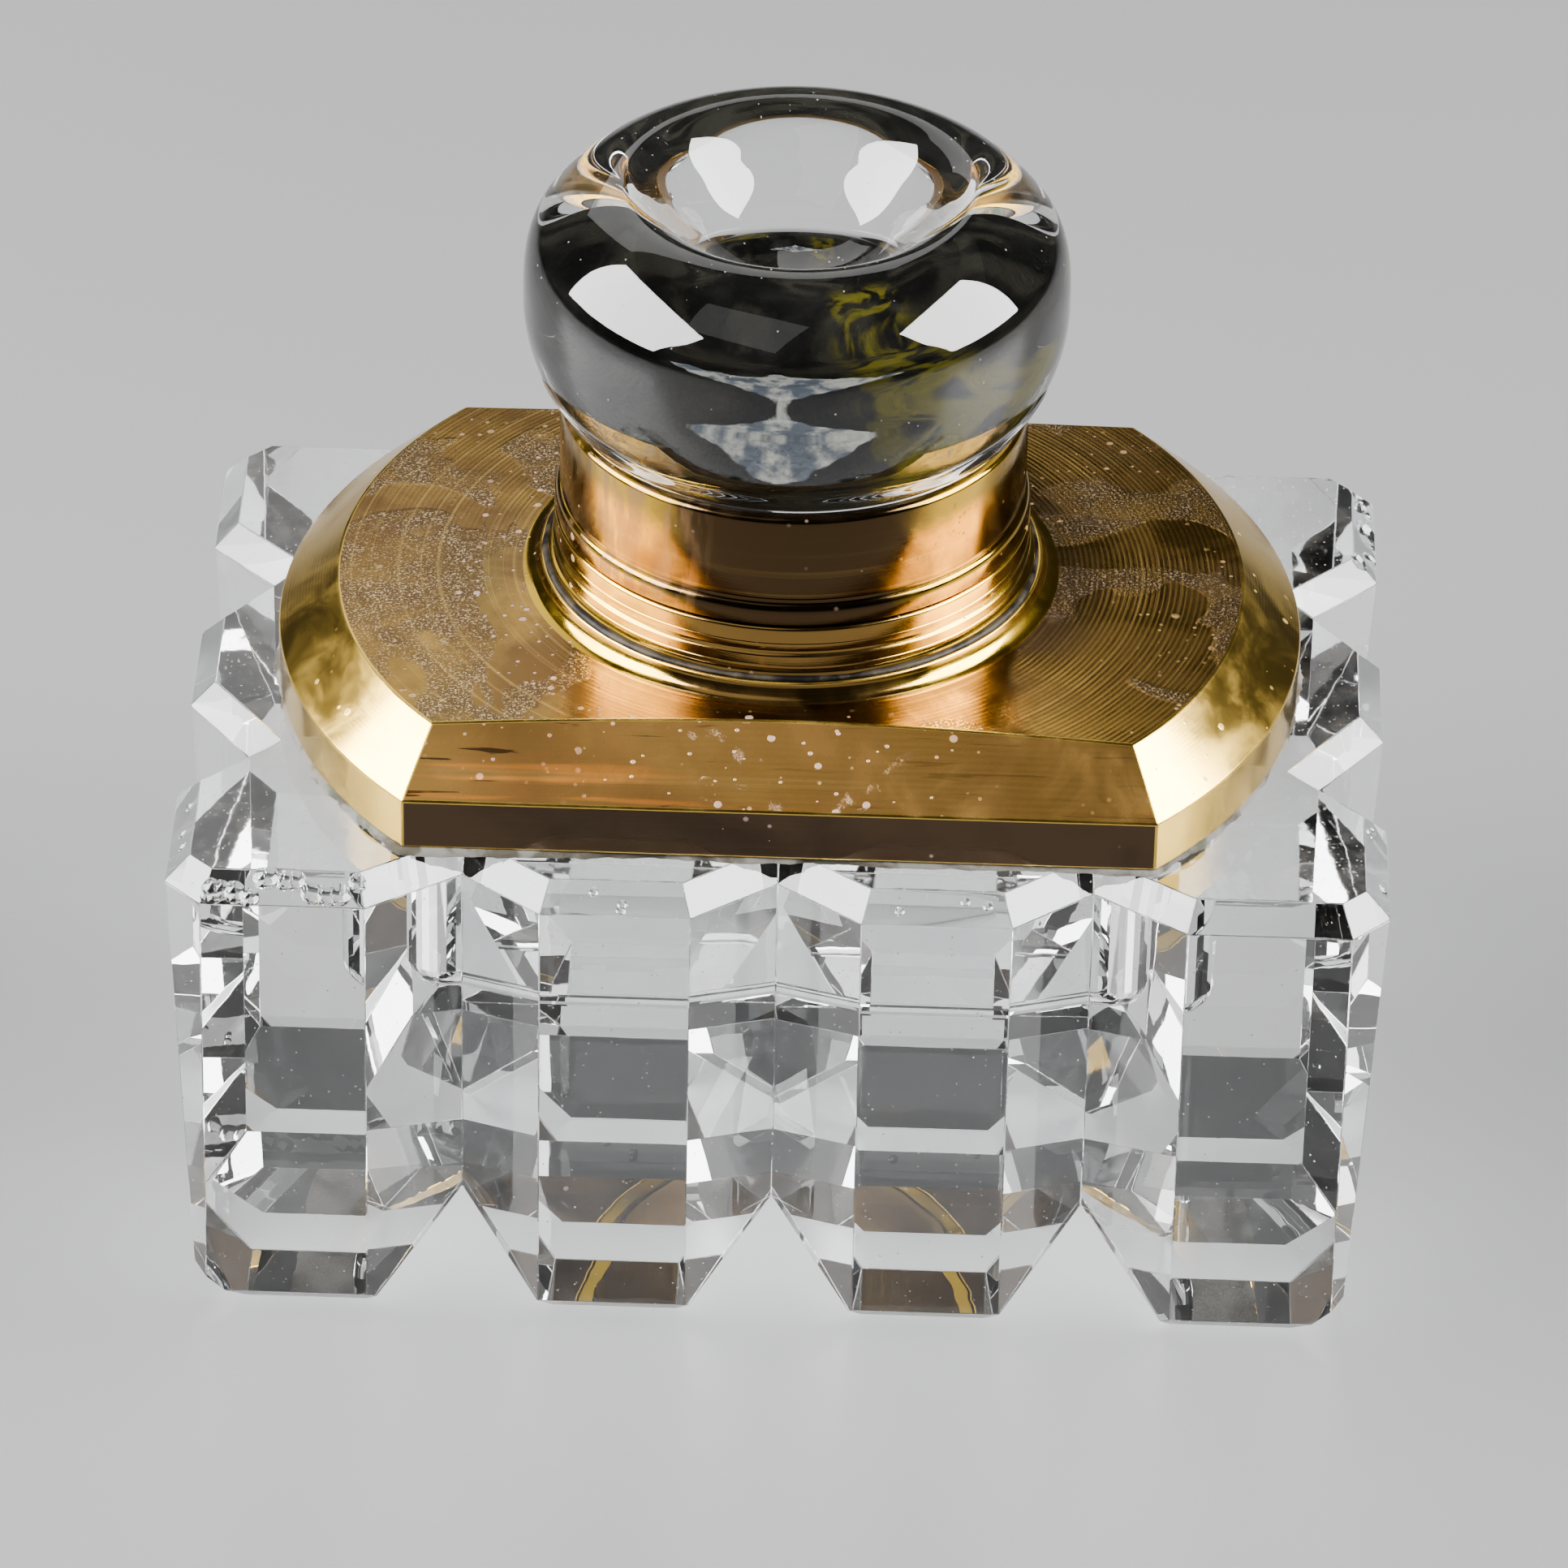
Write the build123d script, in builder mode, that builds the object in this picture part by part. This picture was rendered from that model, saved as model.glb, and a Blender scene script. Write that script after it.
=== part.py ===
"""Cut-crystal desk inkwell with a turned brass cover, neck and hinged lid.

The glass block carries a wide oblong well.  A brass cover plate is bedded on
the block with plaster, a turned collar stands in the plate, and a brass-ringed
crystal finial is hinged to the back of the collar.

Frame: millimetres, +Z up, origin on the table under the centre of the block,
front face toward -Y, hinge toward +Y.
"""
from build123d import *
import os

os.makedirs("parts", exist_ok=True)

# ---------------------------------------------------------------- glass block
block_half_width = 38.0
block_half_depth = 26.6
block_height = 32.3
corner_cut = 2.4            # upright chamfer on the four corners
rim_bevel = 1.6             # bevel round the whole top outline
foot_bevel = 1.1            # bevel under the front and back faces

long_valley = 19.6          # upright grooves on the long faces: 0 and +-this
long_valley_depth = 4.1
mid_groove_half = 5.3
rib_outer = 14.6            # outer edge of the two middle ribs
corner_rib_inner = 25.4     # inner edge of the corner ribs

end_valley = 10.2           # upright grooves on the end faces: +-this
end_valley_depth = 4.3
end_rib_half = 4.3
end_corner_rib = 14.6

foot_groove_depth = 6.9     # grooves across the underside
foot_groove_half = 5.85
end_draft = 1.6             # the end faces lean in by this at the foot
end_foot_height = 2.8       # bevel at the foot of the end faces
end_foot_inset = 3.2

# ----------------------------------------------------------------------- well
well_half_width = 27.5
well_half_depth = 15.5
well_corner = 6.0
well_floor = 18.9
well_floor_fillet = 1.6

# --------------------------------------------------------------- brass cover
bed_thickness = 0.4
cover_radius = 32.5
cover_half_depth = 22.6     # the disc is cut flat at front and back
cover_base = block_height + bed_thickness
cover_band = 3.4            # upright edge
cover_slope = 3.4           # height of the sloping edge
cover_slope_inset = 3.75
cover_rise = 0.6            # the top is turned very slightly conical
boss_foot_radius = 17.0
boss_radius = 15.9
boss_top = 41.3
cover_bore = 13.7

# ------------------------------------------------------------- neck and hinge
neck_bore = 12.8
spigot_radius = 13.6
neck_foot_radius = 15.4
neck_radius = 15.05
neck_top = 44.75
parting_gap = 0.12

hinge_y = 17.0
hinge_z = neck_top + parting_gap / 2
barrel_radius = 1.45
pin_radius = 0.60
pin_bore = 0.65
centre_knuckle = 4.2        # length of the lid's knuckle
outer_knuckle = 4.1         # length of each of the collar's knuckles
knuckle_gap = 0.15
leaf_overlap = 0.04         # hair gap of solder between a leaf and its ring

# ------------------------------------------------------------------------ lid
lid_base = neck_top + parting_gap
lid_flange_radius = 15.0
lid_flange_top = 45.75
lid_radius = 14.70
lid_top = 52.5
lid_socket = 13.4
lid_ledge_radius = 12.6
lid_ledge_top = 46.2
disc_thickness = 0.7
stub_radius = 12.65
stub_bottom = 47.6

# --------------------------------------------------------------------- finial
finial_seat = 52.62
finial_seat_radius = 14.4
finial_widest = 17.06
finial_widest_z = 59.9
finial_crest_radius = 11.0
finial_crest_z = 67.9
dish_floor_z = 61.7


# ================================================================ glass block
with BuildPart() as glass_block:
    with BuildSketch(Plane.XY):
        with BuildLine():
            Polyline(
                (0, -block_half_depth + long_valley_depth),
                (mid_groove_half, -block_half_depth),
                (rib_outer, -block_half_depth),
                (long_valley, -block_half_depth + long_valley_depth),
                (corner_rib_inner, -block_half_depth),
                (block_half_width - corner_cut, -block_half_depth),
                (block_half_width, -block_half_depth + corner_cut),
                (block_half_width, -end_corner_rib),
                (block_half_width - end_valley_depth, -end_valley),
                (block_half_width, -end_rib_half),
                (block_half_width, 0),
            )
            mirror(about=Plane.YZ)
            mirror(about=Plane.XZ)
        make_face()
    extrude(amount=block_height)
    chamfer(glass_block.edges().group_by(Axis.Z)[-1], length=rim_bevel)

    # end faces lean in toward the foot, with a bevel under them
    with BuildSketch(Plane.XZ):
        with BuildLine():
            Polyline(
                (block_half_width, block_height),
                (block_half_width - end_draft, end_foot_height),
                (block_half_width - end_draft - end_foot_inset, 0),
                (block_half_width - end_draft - end_foot_inset, -5),
                (block_half_width + 5, -5),
                (block_half_width + 5, block_height),
                close=True,
            )
        make_face()
        mirror(about=Plane.YZ)
    extrude(amount=block_half_depth + 5, both=True, mode=Mode.SUBTRACT)

    # bevel under the front and back faces
    with BuildSketch(Plane.YZ):
        with BuildLine():
            Polyline(
                (block_half_depth - foot_bevel, 0),
                (block_half_depth + 1, foot_bevel + 1),
                (block_half_depth + 1, -1),
                (block_half_depth - foot_bevel, -1),
                close=True,
            )
        make_face()
        mirror(about=Plane.YZ)
    extrude(amount=block_half_width + 5, both=True, mode=Mode.SUBTRACT)

    # V grooves across the underside, in line with the upright ones
    with BuildSketch(Plane.XZ):
        for valley in (-long_valley, 0, long_valley):
            with BuildLine():
                Polyline(
                    (valley - foot_groove_half, 0),
                    (valley, foot_groove_depth),
                    (valley + foot_groove_half, 0),
                    (valley + foot_groove_half, -1),
                    (valley - foot_groove_half, -1),
                    close=True,
                )
            make_face()
    extrude(amount=block_half_depth + 5, both=True, mode=Mode.SUBTRACT)
    with BuildSketch(Plane.YZ):
        for valley in (-end_valley, end_valley):
            with BuildLine():
                Polyline(
                    (valley - foot_groove_half, 0),
                    (valley, foot_groove_depth),
                    (valley + foot_groove_half, 0),
                    (valley + foot_groove_half, -1),
                    (valley - foot_groove_half, -1),
                    close=True,
                )
            make_face()
    extrude(amount=block_half_width + 5, both=True, mode=Mode.SUBTRACT)

    # the well, open at the top
    with BuildSketch(Plane.XY.offset(well_floor)):
        RectangleRounded(2 * well_half_width, 2 * well_half_depth, well_corner)
    extrude(amount=block_height - well_floor + 1, mode=Mode.SUBTRACT)
    floor_edges = glass_block.edges().filter_by_position(
        Axis.Z, well_floor - 0.01, well_floor + 0.01
    )
    fillet(floor_edges, radius=well_floor_fillet)

glass_block.part.label = "glass_block"
export_step(glass_block.part, "parts/glass_block.step")


# ================================================================ plaster bed
with BuildPart() as cement_bed:
    with BuildSketch(Plane.XY.offset(block_height)):
        Circle(cover_radius - 0.25)
        Rectangle(
            2 * cover_radius, 2 * (cover_half_depth - 0.25), mode=Mode.INTERSECT
        )
        RectangleRounded(
            2 * well_half_width + 0.6,
            2 * well_half_depth + 0.6,
            well_corner + 0.3,
            mode=Mode.SUBTRACT,
        )
    extrude(amount=bed_thickness)
cement_bed.part.label = "cement_bed"
export_step(cement_bed.part, "parts/cement_bed.step")


# ================================================================ cover plate
band_top = cover_base + cover_band
slope_top = band_top + cover_slope
with BuildPart() as cover_plate:
    with BuildSketch(Plane.XZ):
        with BuildLine():
            Polyline(
                (boss_radius, boss_top),
                (cover_bore, boss_top),
                (cover_bore, cover_base),
                (cover_radius, cover_base),
                (cover_radius, band_top),
                (cover_radius - cover_slope_inset, slope_top),
                (boss_foot_radius, slope_top + cover_rise),
            )
            Spline(
                (boss_foot_radius, slope_top + cover_rise),
                (boss_radius, boss_top),
                tangents=((-1, 0.08), (0, 1)),
            )
        make_face()
    revolve(axis=Axis.Z)
    # flats at front and back, each with its own sloping edge
    with BuildSketch(Plane.YZ):
        with BuildLine():
            Polyline(
                (cover_half_depth, cover_base - 1),
                (cover_half_depth, band_top),
                (cover_half_depth - 1.6 * cover_slope_inset, band_top + 1.6 * cover_slope),
                (cover_radius + 2, band_top + 1.6 * cover_slope),
                (cover_radius + 2, cover_base - 1),
                close=True,
            )
        make_face()
        mirror(about=Plane.YZ)
    extrude(amount=cover_radius + 2, both=True, mode=Mode.SUBTRACT)
cover_plate.part.label = "cover_plate"
export_step(cover_plate.part, "parts/cover_plate.step")


# ================================================================ neck collar
with BuildPart() as neck_collar:
    with BuildSketch(Plane.XZ):
        with BuildLine():
            Polyline(
                (neck_bore, cover_base),
                (spigot_radius, cover_base),
                (spigot_radius, boss_top),
                (neck_foot_radius, boss_top),
                (neck_foot_radius, boss_top + 0.45),
                (neck_foot_radius - 0.15, boss_top + 0.6),
                (neck_radius + 0.1, boss_top + 0.6),
                (neck_radius + 0.1, boss_top + 1.45),
                (neck_radius - 0.1, boss_top + 1.6),
                (neck_radius - 0.1, boss_top + 1.8),
                (neck_radius, boss_top + 1.9),
                (neck_radius, neck_top - 0.22),
                (neck_radius - 0.22, neck_top),
                (neck_bore + 0.3, neck_top),
                (neck_bore, neck_top - 0.3),
                close=True,
            )
        make_face()
    revolve(axis=Axis.Z)
neck_collar.part.label = "neck_collar"
export_step(neck_collar.part, "parts/neck_collar.step")


# bead of solder where the collar's foot meets the boss
seam_width = boss_radius - neck_foot_radius - 0.12
with BuildPart() as solder_seam:
    with BuildSketch(Plane.XZ):
        with BuildLine():
            Line(
                (neck_foot_radius + 0.02, boss_top + 0.02),
                (neck_foot_radius + 0.02 + seam_width, boss_top + 0.02),
            )
            CenterArc(
                (neck_foot_radius + 0.02, boss_top + 0.02), seam_width, 0, 90
            )
            Line(
                (neck_foot_radius + 0.02, boss_top + 0.02 + seam_width),
                (neck_foot_radius + 0.02, boss_top + 0.02),
            )
        make_face()
    revolve(axis=Axis.Z)
solder_seam.part.label = "solder_seam"
export_step(solder_seam.part, "parts/solder_seam.step")


# ====================================================================== hinge
lower_leaf_bottom = boss_top + 1.95
outer_knuckle_centre = centre_knuckle / 2 + knuckle_gap + outer_knuckle / 2
with BuildPart() as collar_hinge_leaf:
    with BuildSketch(Plane.YZ):
        with BuildLine():
            Polyline(
                (neck_radius - 1.2, hinge_z - 0.35),
                (neck_radius - 1.2, lower_leaf_bottom),
                (neck_radius + 1.0, lower_leaf_bottom),
                (hinge_y + 1.15, hinge_z - 0.85),
                (hinge_y, hinge_z - 0.35),
                close=True,
            )
        make_face()
        with Locations((hinge_y, hinge_z)):
            Circle(barrel_radius)
    extrude(amount=centre_knuckle / 2 + knuckle_gap + outer_knuckle, both=True)
    # room for the lid's knuckle in the middle
    with BuildSketch(Plane.YZ):
        with Locations((hinge_y, hinge_z)):
            Circle(barrel_radius + 0.2)
        with Locations((hinge_y - 1.0, hinge_z + 0.3)):
            Rectangle(3.4, 1.4)
    extrude(
        amount=centre_knuckle / 2 + knuckle_gap, both=True, mode=Mode.SUBTRACT
    )
    with BuildSketch(Plane.YZ):
        with Locations((hinge_y, hinge_z)):
            Circle(pin_bore)
    extrude(amount=10, both=True, mode=Mode.SUBTRACT)
    # the leaf is hollowed to the collar
    with BuildSketch(Plane.XY.offset(boss_top)):
        Circle(neck_radius + leaf_overlap)
    extrude(amount=6, mode=Mode.SUBTRACT)
collar_hinge_leaf.part.label = "collar_hinge_leaf"
export_step(collar_hinge_leaf.part, "parts/collar_hinge_leaf.step")


upper_leaf_top = lid_flange_top + 2.6
with BuildPart() as lid_hinge_leaf:
    with BuildSketch(Plane.YZ):
        with BuildLine():
            Polyline(
                (lid_radius - 1.2, lid_base + 0.25),
                (hinge_y, lid_base + 0.25),
                (hinge_y + 0.9, hinge_z + 1.05),
                (lid_radius + 0.95, upper_leaf_top),
                (lid_radius - 1.2, upper_leaf_top),
                close=True,
            )
        make_face()
        with Locations((hinge_y, hinge_z)):
            Circle(barrel_radius)
    extrude(amount=centre_knuckle / 2, both=True)
    with BuildSketch(Plane.YZ):
        with Locations((hinge_y, hinge_z)):
            Circle(pin_bore)
    extrude(amount=10, both=True, mode=Mode.SUBTRACT)
    # hollowed to the flange, and above it to the ring
    with BuildSketch(Plane.XY.offset(lid_base - 1)):
        Circle(lid_flange_radius + leaf_overlap)
    extrude(amount=1 + 1.6, mode=Mode.SUBTRACT)
    with BuildSketch(Plane.XY.offset(lid_base + 1)):
        Circle(lid_radius + leaf_overlap)
    extrude(amount=6, mode=Mode.SUBTRACT)
lid_hinge_leaf.part.label = "lid_hinge_leaf"
export_step(lid_hinge_leaf.part, "parts/lid_hinge_leaf.step")


pin_half = centre_knuckle / 2 + knuckle_gap + outer_knuckle
with BuildPart() as hinge_pin:
    with BuildSketch(Plane.YZ):
        with Locations((hinge_y, hinge_z)):
            Circle(pin_radius)
    extrude(amount=pin_half + 0.1, both=True)
    # peened heads outside the outer knuckles
    with BuildSketch(Plane.YZ.offset(pin_half + 0.08)):
        with Locations((hinge_y, hinge_z)):
            Circle(0.85)
    extrude(amount=0.35, taper=25)
    with BuildSketch(Plane.YZ.offset(-pin_half - 0.08)):
        with Locations((hinge_y, hinge_z)):
            Circle(0.85)
    extrude(amount=-0.35, taper=25)
hinge_pin.part.label = "hinge_pin"
export_step(hinge_pin.part, "parts/hinge_pin.step")


# =================================================================== lid ring
with BuildPart() as lid_ring:
    with BuildSketch(Plane.XZ):
        with BuildLine():
            Polyline(
                (lid_ledge_radius, lid_ledge_top),
                (lid_ledge_radius, lid_base + 0.2),
                (lid_ledge_radius + 0.2, lid_base),
                (lid_flange_radius - 0.15, lid_base),
                (lid_flange_radius, lid_base + 0.15),
                (lid_flange_radius, lid_flange_top),
            )
            ThreePointArc(
                (lid_flange_radius, lid_flange_top),
                (lid_flange_radius - 0.08, lid_flange_top + 0.42),
                (lid_radius - 0.08, lid_flange_top + 0.7),
            )
            Polyline(
                (lid_radius - 0.08, lid_flange_top + 0.7),
                (lid_radius - 0.08, lid_flange_top + 0.85),
                (lid_radius, lid_flange_top + 0.95),
                (lid_radius, lid_top - 0.45),
            )
            ThreePointArc(
                (lid_radius, lid_top - 0.45),
                (lid_radius - 0.13, lid_top - 0.13),
                (lid_radius - 0.45, lid_top),
            )
            Polyline(
                (lid_radius - 0.45, lid_top),
                (lid_socket, lid_top),
                (lid_socket, lid_ledge_top),
                (lid_ledge_radius, lid_ledge_top),
            )
        make_face()
    revolve(axis=Axis.Z)
lid_ring.part.label = "lid_ring"
export_step(lid_ring.part, "parts/lid_ring.step")


# brass disc that closes the ring over the well
with BuildPart() as lid_disc:
    with BuildSketch(Plane.XY.offset(lid_ledge_top)):
        Circle(lid_socket - 0.05)
    extrude(amount=disc_thickness)
    chamfer(lid_disc.edges().group_by(Axis.Z)[-1], length=0.15)
lid_disc.part.label = "lid_disc"
export_step(lid_disc.part, "parts/lid_disc.step")


# plaster packed between the ring and the finial's stub
with BuildPart() as lid_cement:
    with BuildSketch(Plane.XZ):
        with BuildLine():
            Polyline(
                (stub_radius + 0.03, lid_ledge_top + disc_thickness + 0.1),
                (lid_socket - 0.03, lid_ledge_top + disc_thickness + 0.1),
                (lid_socket - 0.03, lid_top - 0.1),
                (stub_radius + 0.03, lid_top - 0.1),
                close=True,
            )
        make_face()
    revolve(axis=Axis.Z)
lid_cement.part.label = "lid_cement"
export_step(lid_cement.part, "parts/lid_cement.step")


# =============================================================== glass finial
with BuildPart() as glass_finial:
    with BuildSketch(Plane.XZ):
        with BuildLine():
            Polyline(
                (0, dish_floor_z),
                (0, stub_bottom),
                (stub_radius - 0.6, stub_bottom),
                (stub_radius, stub_bottom + 0.6),
                (stub_radius, finial_seat),
                (finial_seat_radius - 0.3, finial_seat),
            )
            Spline(
                (finial_seat_radius - 0.3, finial_seat),
                (finial_seat_radius + 0.65, finial_seat + 1.0),
                (16.44, 56.2),
                (finial_widest, finial_widest_z),
                tangents=((1, 0.25), (0, 1)),
            )
            Spline(
                (finial_widest, finial_widest_z),
                (16.12, 64.8),
                (finial_crest_radius, finial_crest_z),
                tangents=((0, 1), (-1, 0)),
            )
            Spline(
                (finial_crest_radius, finial_crest_z),
                (9.4, 67.2),
                (7.6, 65.5),
                (5.4, 63.3),
                (3.0, 62.05),
                (0, dish_floor_z),
                tangents=((-1, 0), (-1, 0)),
            )
        make_face()
    revolve(axis=Axis.Z)
glass_finial.part.label = "glass_finial"
export_step(glass_finial.part, "parts/glass_finial.step")
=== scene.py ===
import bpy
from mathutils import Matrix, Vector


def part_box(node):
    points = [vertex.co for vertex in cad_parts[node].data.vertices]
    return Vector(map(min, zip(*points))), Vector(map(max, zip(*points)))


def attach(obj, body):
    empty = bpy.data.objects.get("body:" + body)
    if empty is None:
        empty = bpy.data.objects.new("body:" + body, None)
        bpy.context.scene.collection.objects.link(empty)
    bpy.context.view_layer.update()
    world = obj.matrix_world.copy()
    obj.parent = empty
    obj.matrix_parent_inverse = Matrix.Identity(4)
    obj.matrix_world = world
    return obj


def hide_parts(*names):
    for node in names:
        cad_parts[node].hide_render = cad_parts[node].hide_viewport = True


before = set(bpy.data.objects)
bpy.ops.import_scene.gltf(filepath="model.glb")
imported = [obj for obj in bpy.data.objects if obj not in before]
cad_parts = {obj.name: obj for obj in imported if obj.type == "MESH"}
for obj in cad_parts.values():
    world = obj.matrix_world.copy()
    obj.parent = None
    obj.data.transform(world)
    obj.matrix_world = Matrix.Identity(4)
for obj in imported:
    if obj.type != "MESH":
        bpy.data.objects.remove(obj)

"""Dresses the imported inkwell: cut crystal, turned brass, old plaster, and the light that shows them."""

import logging
import math
import random
from dataclasses import dataclass, field
from enum import Enum
from typing import Callable, Iterable, Sequence

import bmesh
import bpy
from mathutils import Matrix, Vector, noise

LOG = logging.getLogger("inkwell")
MM = 0.001
Profile = list[tuple[float, float]]
Colour = tuple[float, float, float, float]
Socket = bpy.types.NodeSocket
Piece = bpy.types.Object
Coat = bpy.types.Material
ROUND_STEPS = 288


@dataclass(frozen=True)
class Extent:
    """How far a CAD piece reaches, in millimetres."""

    right: float
    back: float
    foot: float
    top: float

    @classmethod
    def of(cls, node: str) -> "Extent":
        """Reads a CAD piece's reach from the frame.

        Args:
            node: The CAD node's name.

        Returns:
            Its highest x and y, and its lowest and highest z.
        """
        low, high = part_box(node)
        return cls(*(round(value / MM, 3) for value in (high.x, high.y, low.z, high.z)))


BLOCK = Extent.of("glass_block")
COVER = Extent.of("cover_plate")
BED = Extent.of("cement_bed")
COLLAR = Extent.of("neck_collar")
RING = Extent.of("lid_ring")
FINIAL = Extent.of("glass_finial")


# --------------------------------------------------------------------------
# Small tools for meshes
# --------------------------------------------------------------------------
class MeshBench:
    """Turns, cuts and finishes the meshes that the sub-assemblies ask for."""

    @staticmethod
    def as_object(bm: bmesh.types.BMesh, name: str, smooth_deg: float = 35.0) -> Piece:
        """Closes a bmesh into a scene object with smooth faces and crisp edges.

        Args:
            bm: The mesh being built; it is freed here.
            name: The piece's name.
            smooth_deg: Edges that turn by more than this stay crisp.

        Returns:
            The new object, linked to the scene.
        """
        bmesh.ops.remove_doubles(bm, verts=bm.verts[:], dist=1e-8)
        bmesh.ops.recalc_face_normals(bm, faces=bm.faces[:])
        for face in bm.faces:
            face.smooth = True
        limit = math.radians(smooth_deg)
        for edge in bm.edges:
            if len(edge.link_faces) == 2 and edge.calc_face_angle(0.0) > limit:
                edge.smooth = False
        mesh = bpy.data.meshes.new(name)
        bm.to_mesh(mesh)
        bm.free()
        piece = bpy.data.objects.new(name, mesh)
        bpy.context.scene.collection.objects.link(piece)
        return piece

    @staticmethod
    def turn(profile: Sequence[tuple[float, float]], steps: int = 256,
             wobble: Callable[[float, float, float], tuple[float, float]] | None = None) -> bmesh.types.BMesh:
        """Turns a profile round the upright axis, as on a lathe.

        Args:
            profile: (radius, height) points in metres. A closed ring repeats its first point last;
                otherwise both ends lie on the axis.
            steps: How many steps go round.
            wobble: Optional change of (radius, height) by (angle, radius, height).

        Returns:
            The turned mesh.
        """
        bm = bmesh.new()
        closed = profile[0] == profile[-1]
        points = list(profile[:-1]) if closed else list(profile)
        rings: list[list[bmesh.types.BMVert]] = []
        for radius, height in points:
            if radius < 1e-9:
                rings.append([bm.verts.new((0.0, 0.0, height))])
                continue
            ring = []
            for step in range(steps):
                angle = 2.0 * math.pi * step / steps
                r, z = (radius, height) if wobble is None else wobble(angle, radius, height)
                ring.append(bm.verts.new((r * math.cos(angle), r * math.sin(angle), z)))
            rings.append(ring)
        pairs = list(zip(rings, rings[1:]))
        if closed:
            pairs.append((rings[-1], rings[0]))
        for low, high in pairs:
            for step in range(steps):
                nxt = (step + 1) % steps
                quad = [low[step % len(low)], low[nxt % len(low)], high[nxt % len(high)],
                    high[step % len(high)]]
                corners = list(dict.fromkeys(quad))
                if len(corners) >= 3:
                    bm.faces.new(corners)
        return bm

    @staticmethod
    def prism(outline: Sequence[tuple[float, float]], place: Matrix, low: float,
            high: float) -> bmesh.types.BMesh:
        """Raises an outline into a prism.

        Args:
            outline: (x, y) points in the outline's own plane, in metres.
            place: Where that plane is.
            low: Start of the prism along the plane's normal.
            high: End of the prism along the plane's normal.

        Returns:
            The prism.
        """
        bm = bmesh.new()
        near = [bm.verts.new(place @ Vector((x, y, low))) for x, y in outline]
        far = [bm.verts.new(place @ Vector((x, y, high))) for x, y in outline]
        bm.faces.new(near)
        bm.faces.new(far)
        for index in range(len(outline)):
            nxt = (index + 1) % len(outline)
            bm.faces.new((near[index], near[nxt], far[nxt], far[index]))
        bmesh.ops.recalc_face_normals(bm, faces=bm.faces[:])
        return bm

    @classmethod
    def cut(cls, piece: Piece, cutters: Iterable[bmesh.types.BMesh]) -> Piece:
        """Cuts shapes out of a piece and keeps the result as plain mesh.

        Args:
            piece: The piece to cut.
            cutters: Closed shapes to take away.

        Returns:
            The same object with its new mesh.
        """
        tools = []
        for number, shape in enumerate(cutters):
            tool = cls.as_object(shape, f"cutter_{number}")
            tools.append(tool)
            modifier = piece.modifiers.new(f"cut_{number}", "BOOLEAN")
            modifier.operation = "DIFFERENCE"
            modifier.solver = "EXACT"
            modifier.object = tool
        cls.settle(piece)
        for tool in tools:
            mesh = tool.data
            bpy.data.objects.remove(tool)
            bpy.data.meshes.remove(mesh)
        return piece

    @staticmethod
    def settle(piece: Piece) -> None:
        """Applies a piece's modifiers to its mesh."""
        graph = bpy.context.evaluated_depsgraph_get()
        graph.update()
        settled = bpy.data.meshes.new_from_object(piece.evaluated_get(graph))
        old = piece.data
        piece.modifiers.clear()
        piece.data = settled
        settled.name = piece.name
        bpy.data.meshes.remove(old)

    @staticmethod
    def crisp(piece: Piece, smooth_deg: float, flat_area: float) -> None:
        """Shades curved parts smooth and keeps every flat facet flat.

        Args:
            piece: The piece.
            smooth_deg: Edges that turn by more than this stay crisp.
            flat_area: Faces larger than this, in square metres, count as flat facets.
        """
        shape = bmesh.new()
        shape.from_mesh(piece.data)
        limit = math.radians(smooth_deg)
        for face in shape.faces:
            face.smooth = True
        for edge in shape.edges:
            facet = any(face.calc_area() > flat_area for face in edge.link_faces)
            turn = edge.calc_face_angle(0.0) if len(edge.link_faces) == 2 else math.pi
            edge.smooth = turn < (math.radians(1.0) if facet else limit)
        shape.to_mesh(piece.data)
        shape.free()
        carried = piece.data.attributes.get("custom_normal")
        if carried is not None:
            piece.data.attributes.remove(carried)

    @staticmethod
    def ease_edges(piece: Piece, width: float, angle_deg: float, segments: int = 2,
                   worn_slot: int = -1) -> None:
        """Rounds a piece's sharp edges a little, as handling and polishing do.

        Args:
            piece: The piece.
            width: Width of the rounding, in metres.
            angle_deg: Edges that turn by more than this are rounded.
            segments: Faces across the rounding.
            worn_slot: Material slot for the rounded faces, or -1 to keep their neighbours'.
        """
        modifier = piece.modifiers.new("eased", "BEVEL")
        modifier.width = width
        modifier.segments = segments
        modifier.limit_method = "ANGLE"
        modifier.angle_limit = math.radians(angle_deg)
        modifier.miter_outer = "MITER_ARC"
        modifier.harden_normals = True
        modifier.material = worn_slot
        modifier.use_clamp_overlap = True


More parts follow.
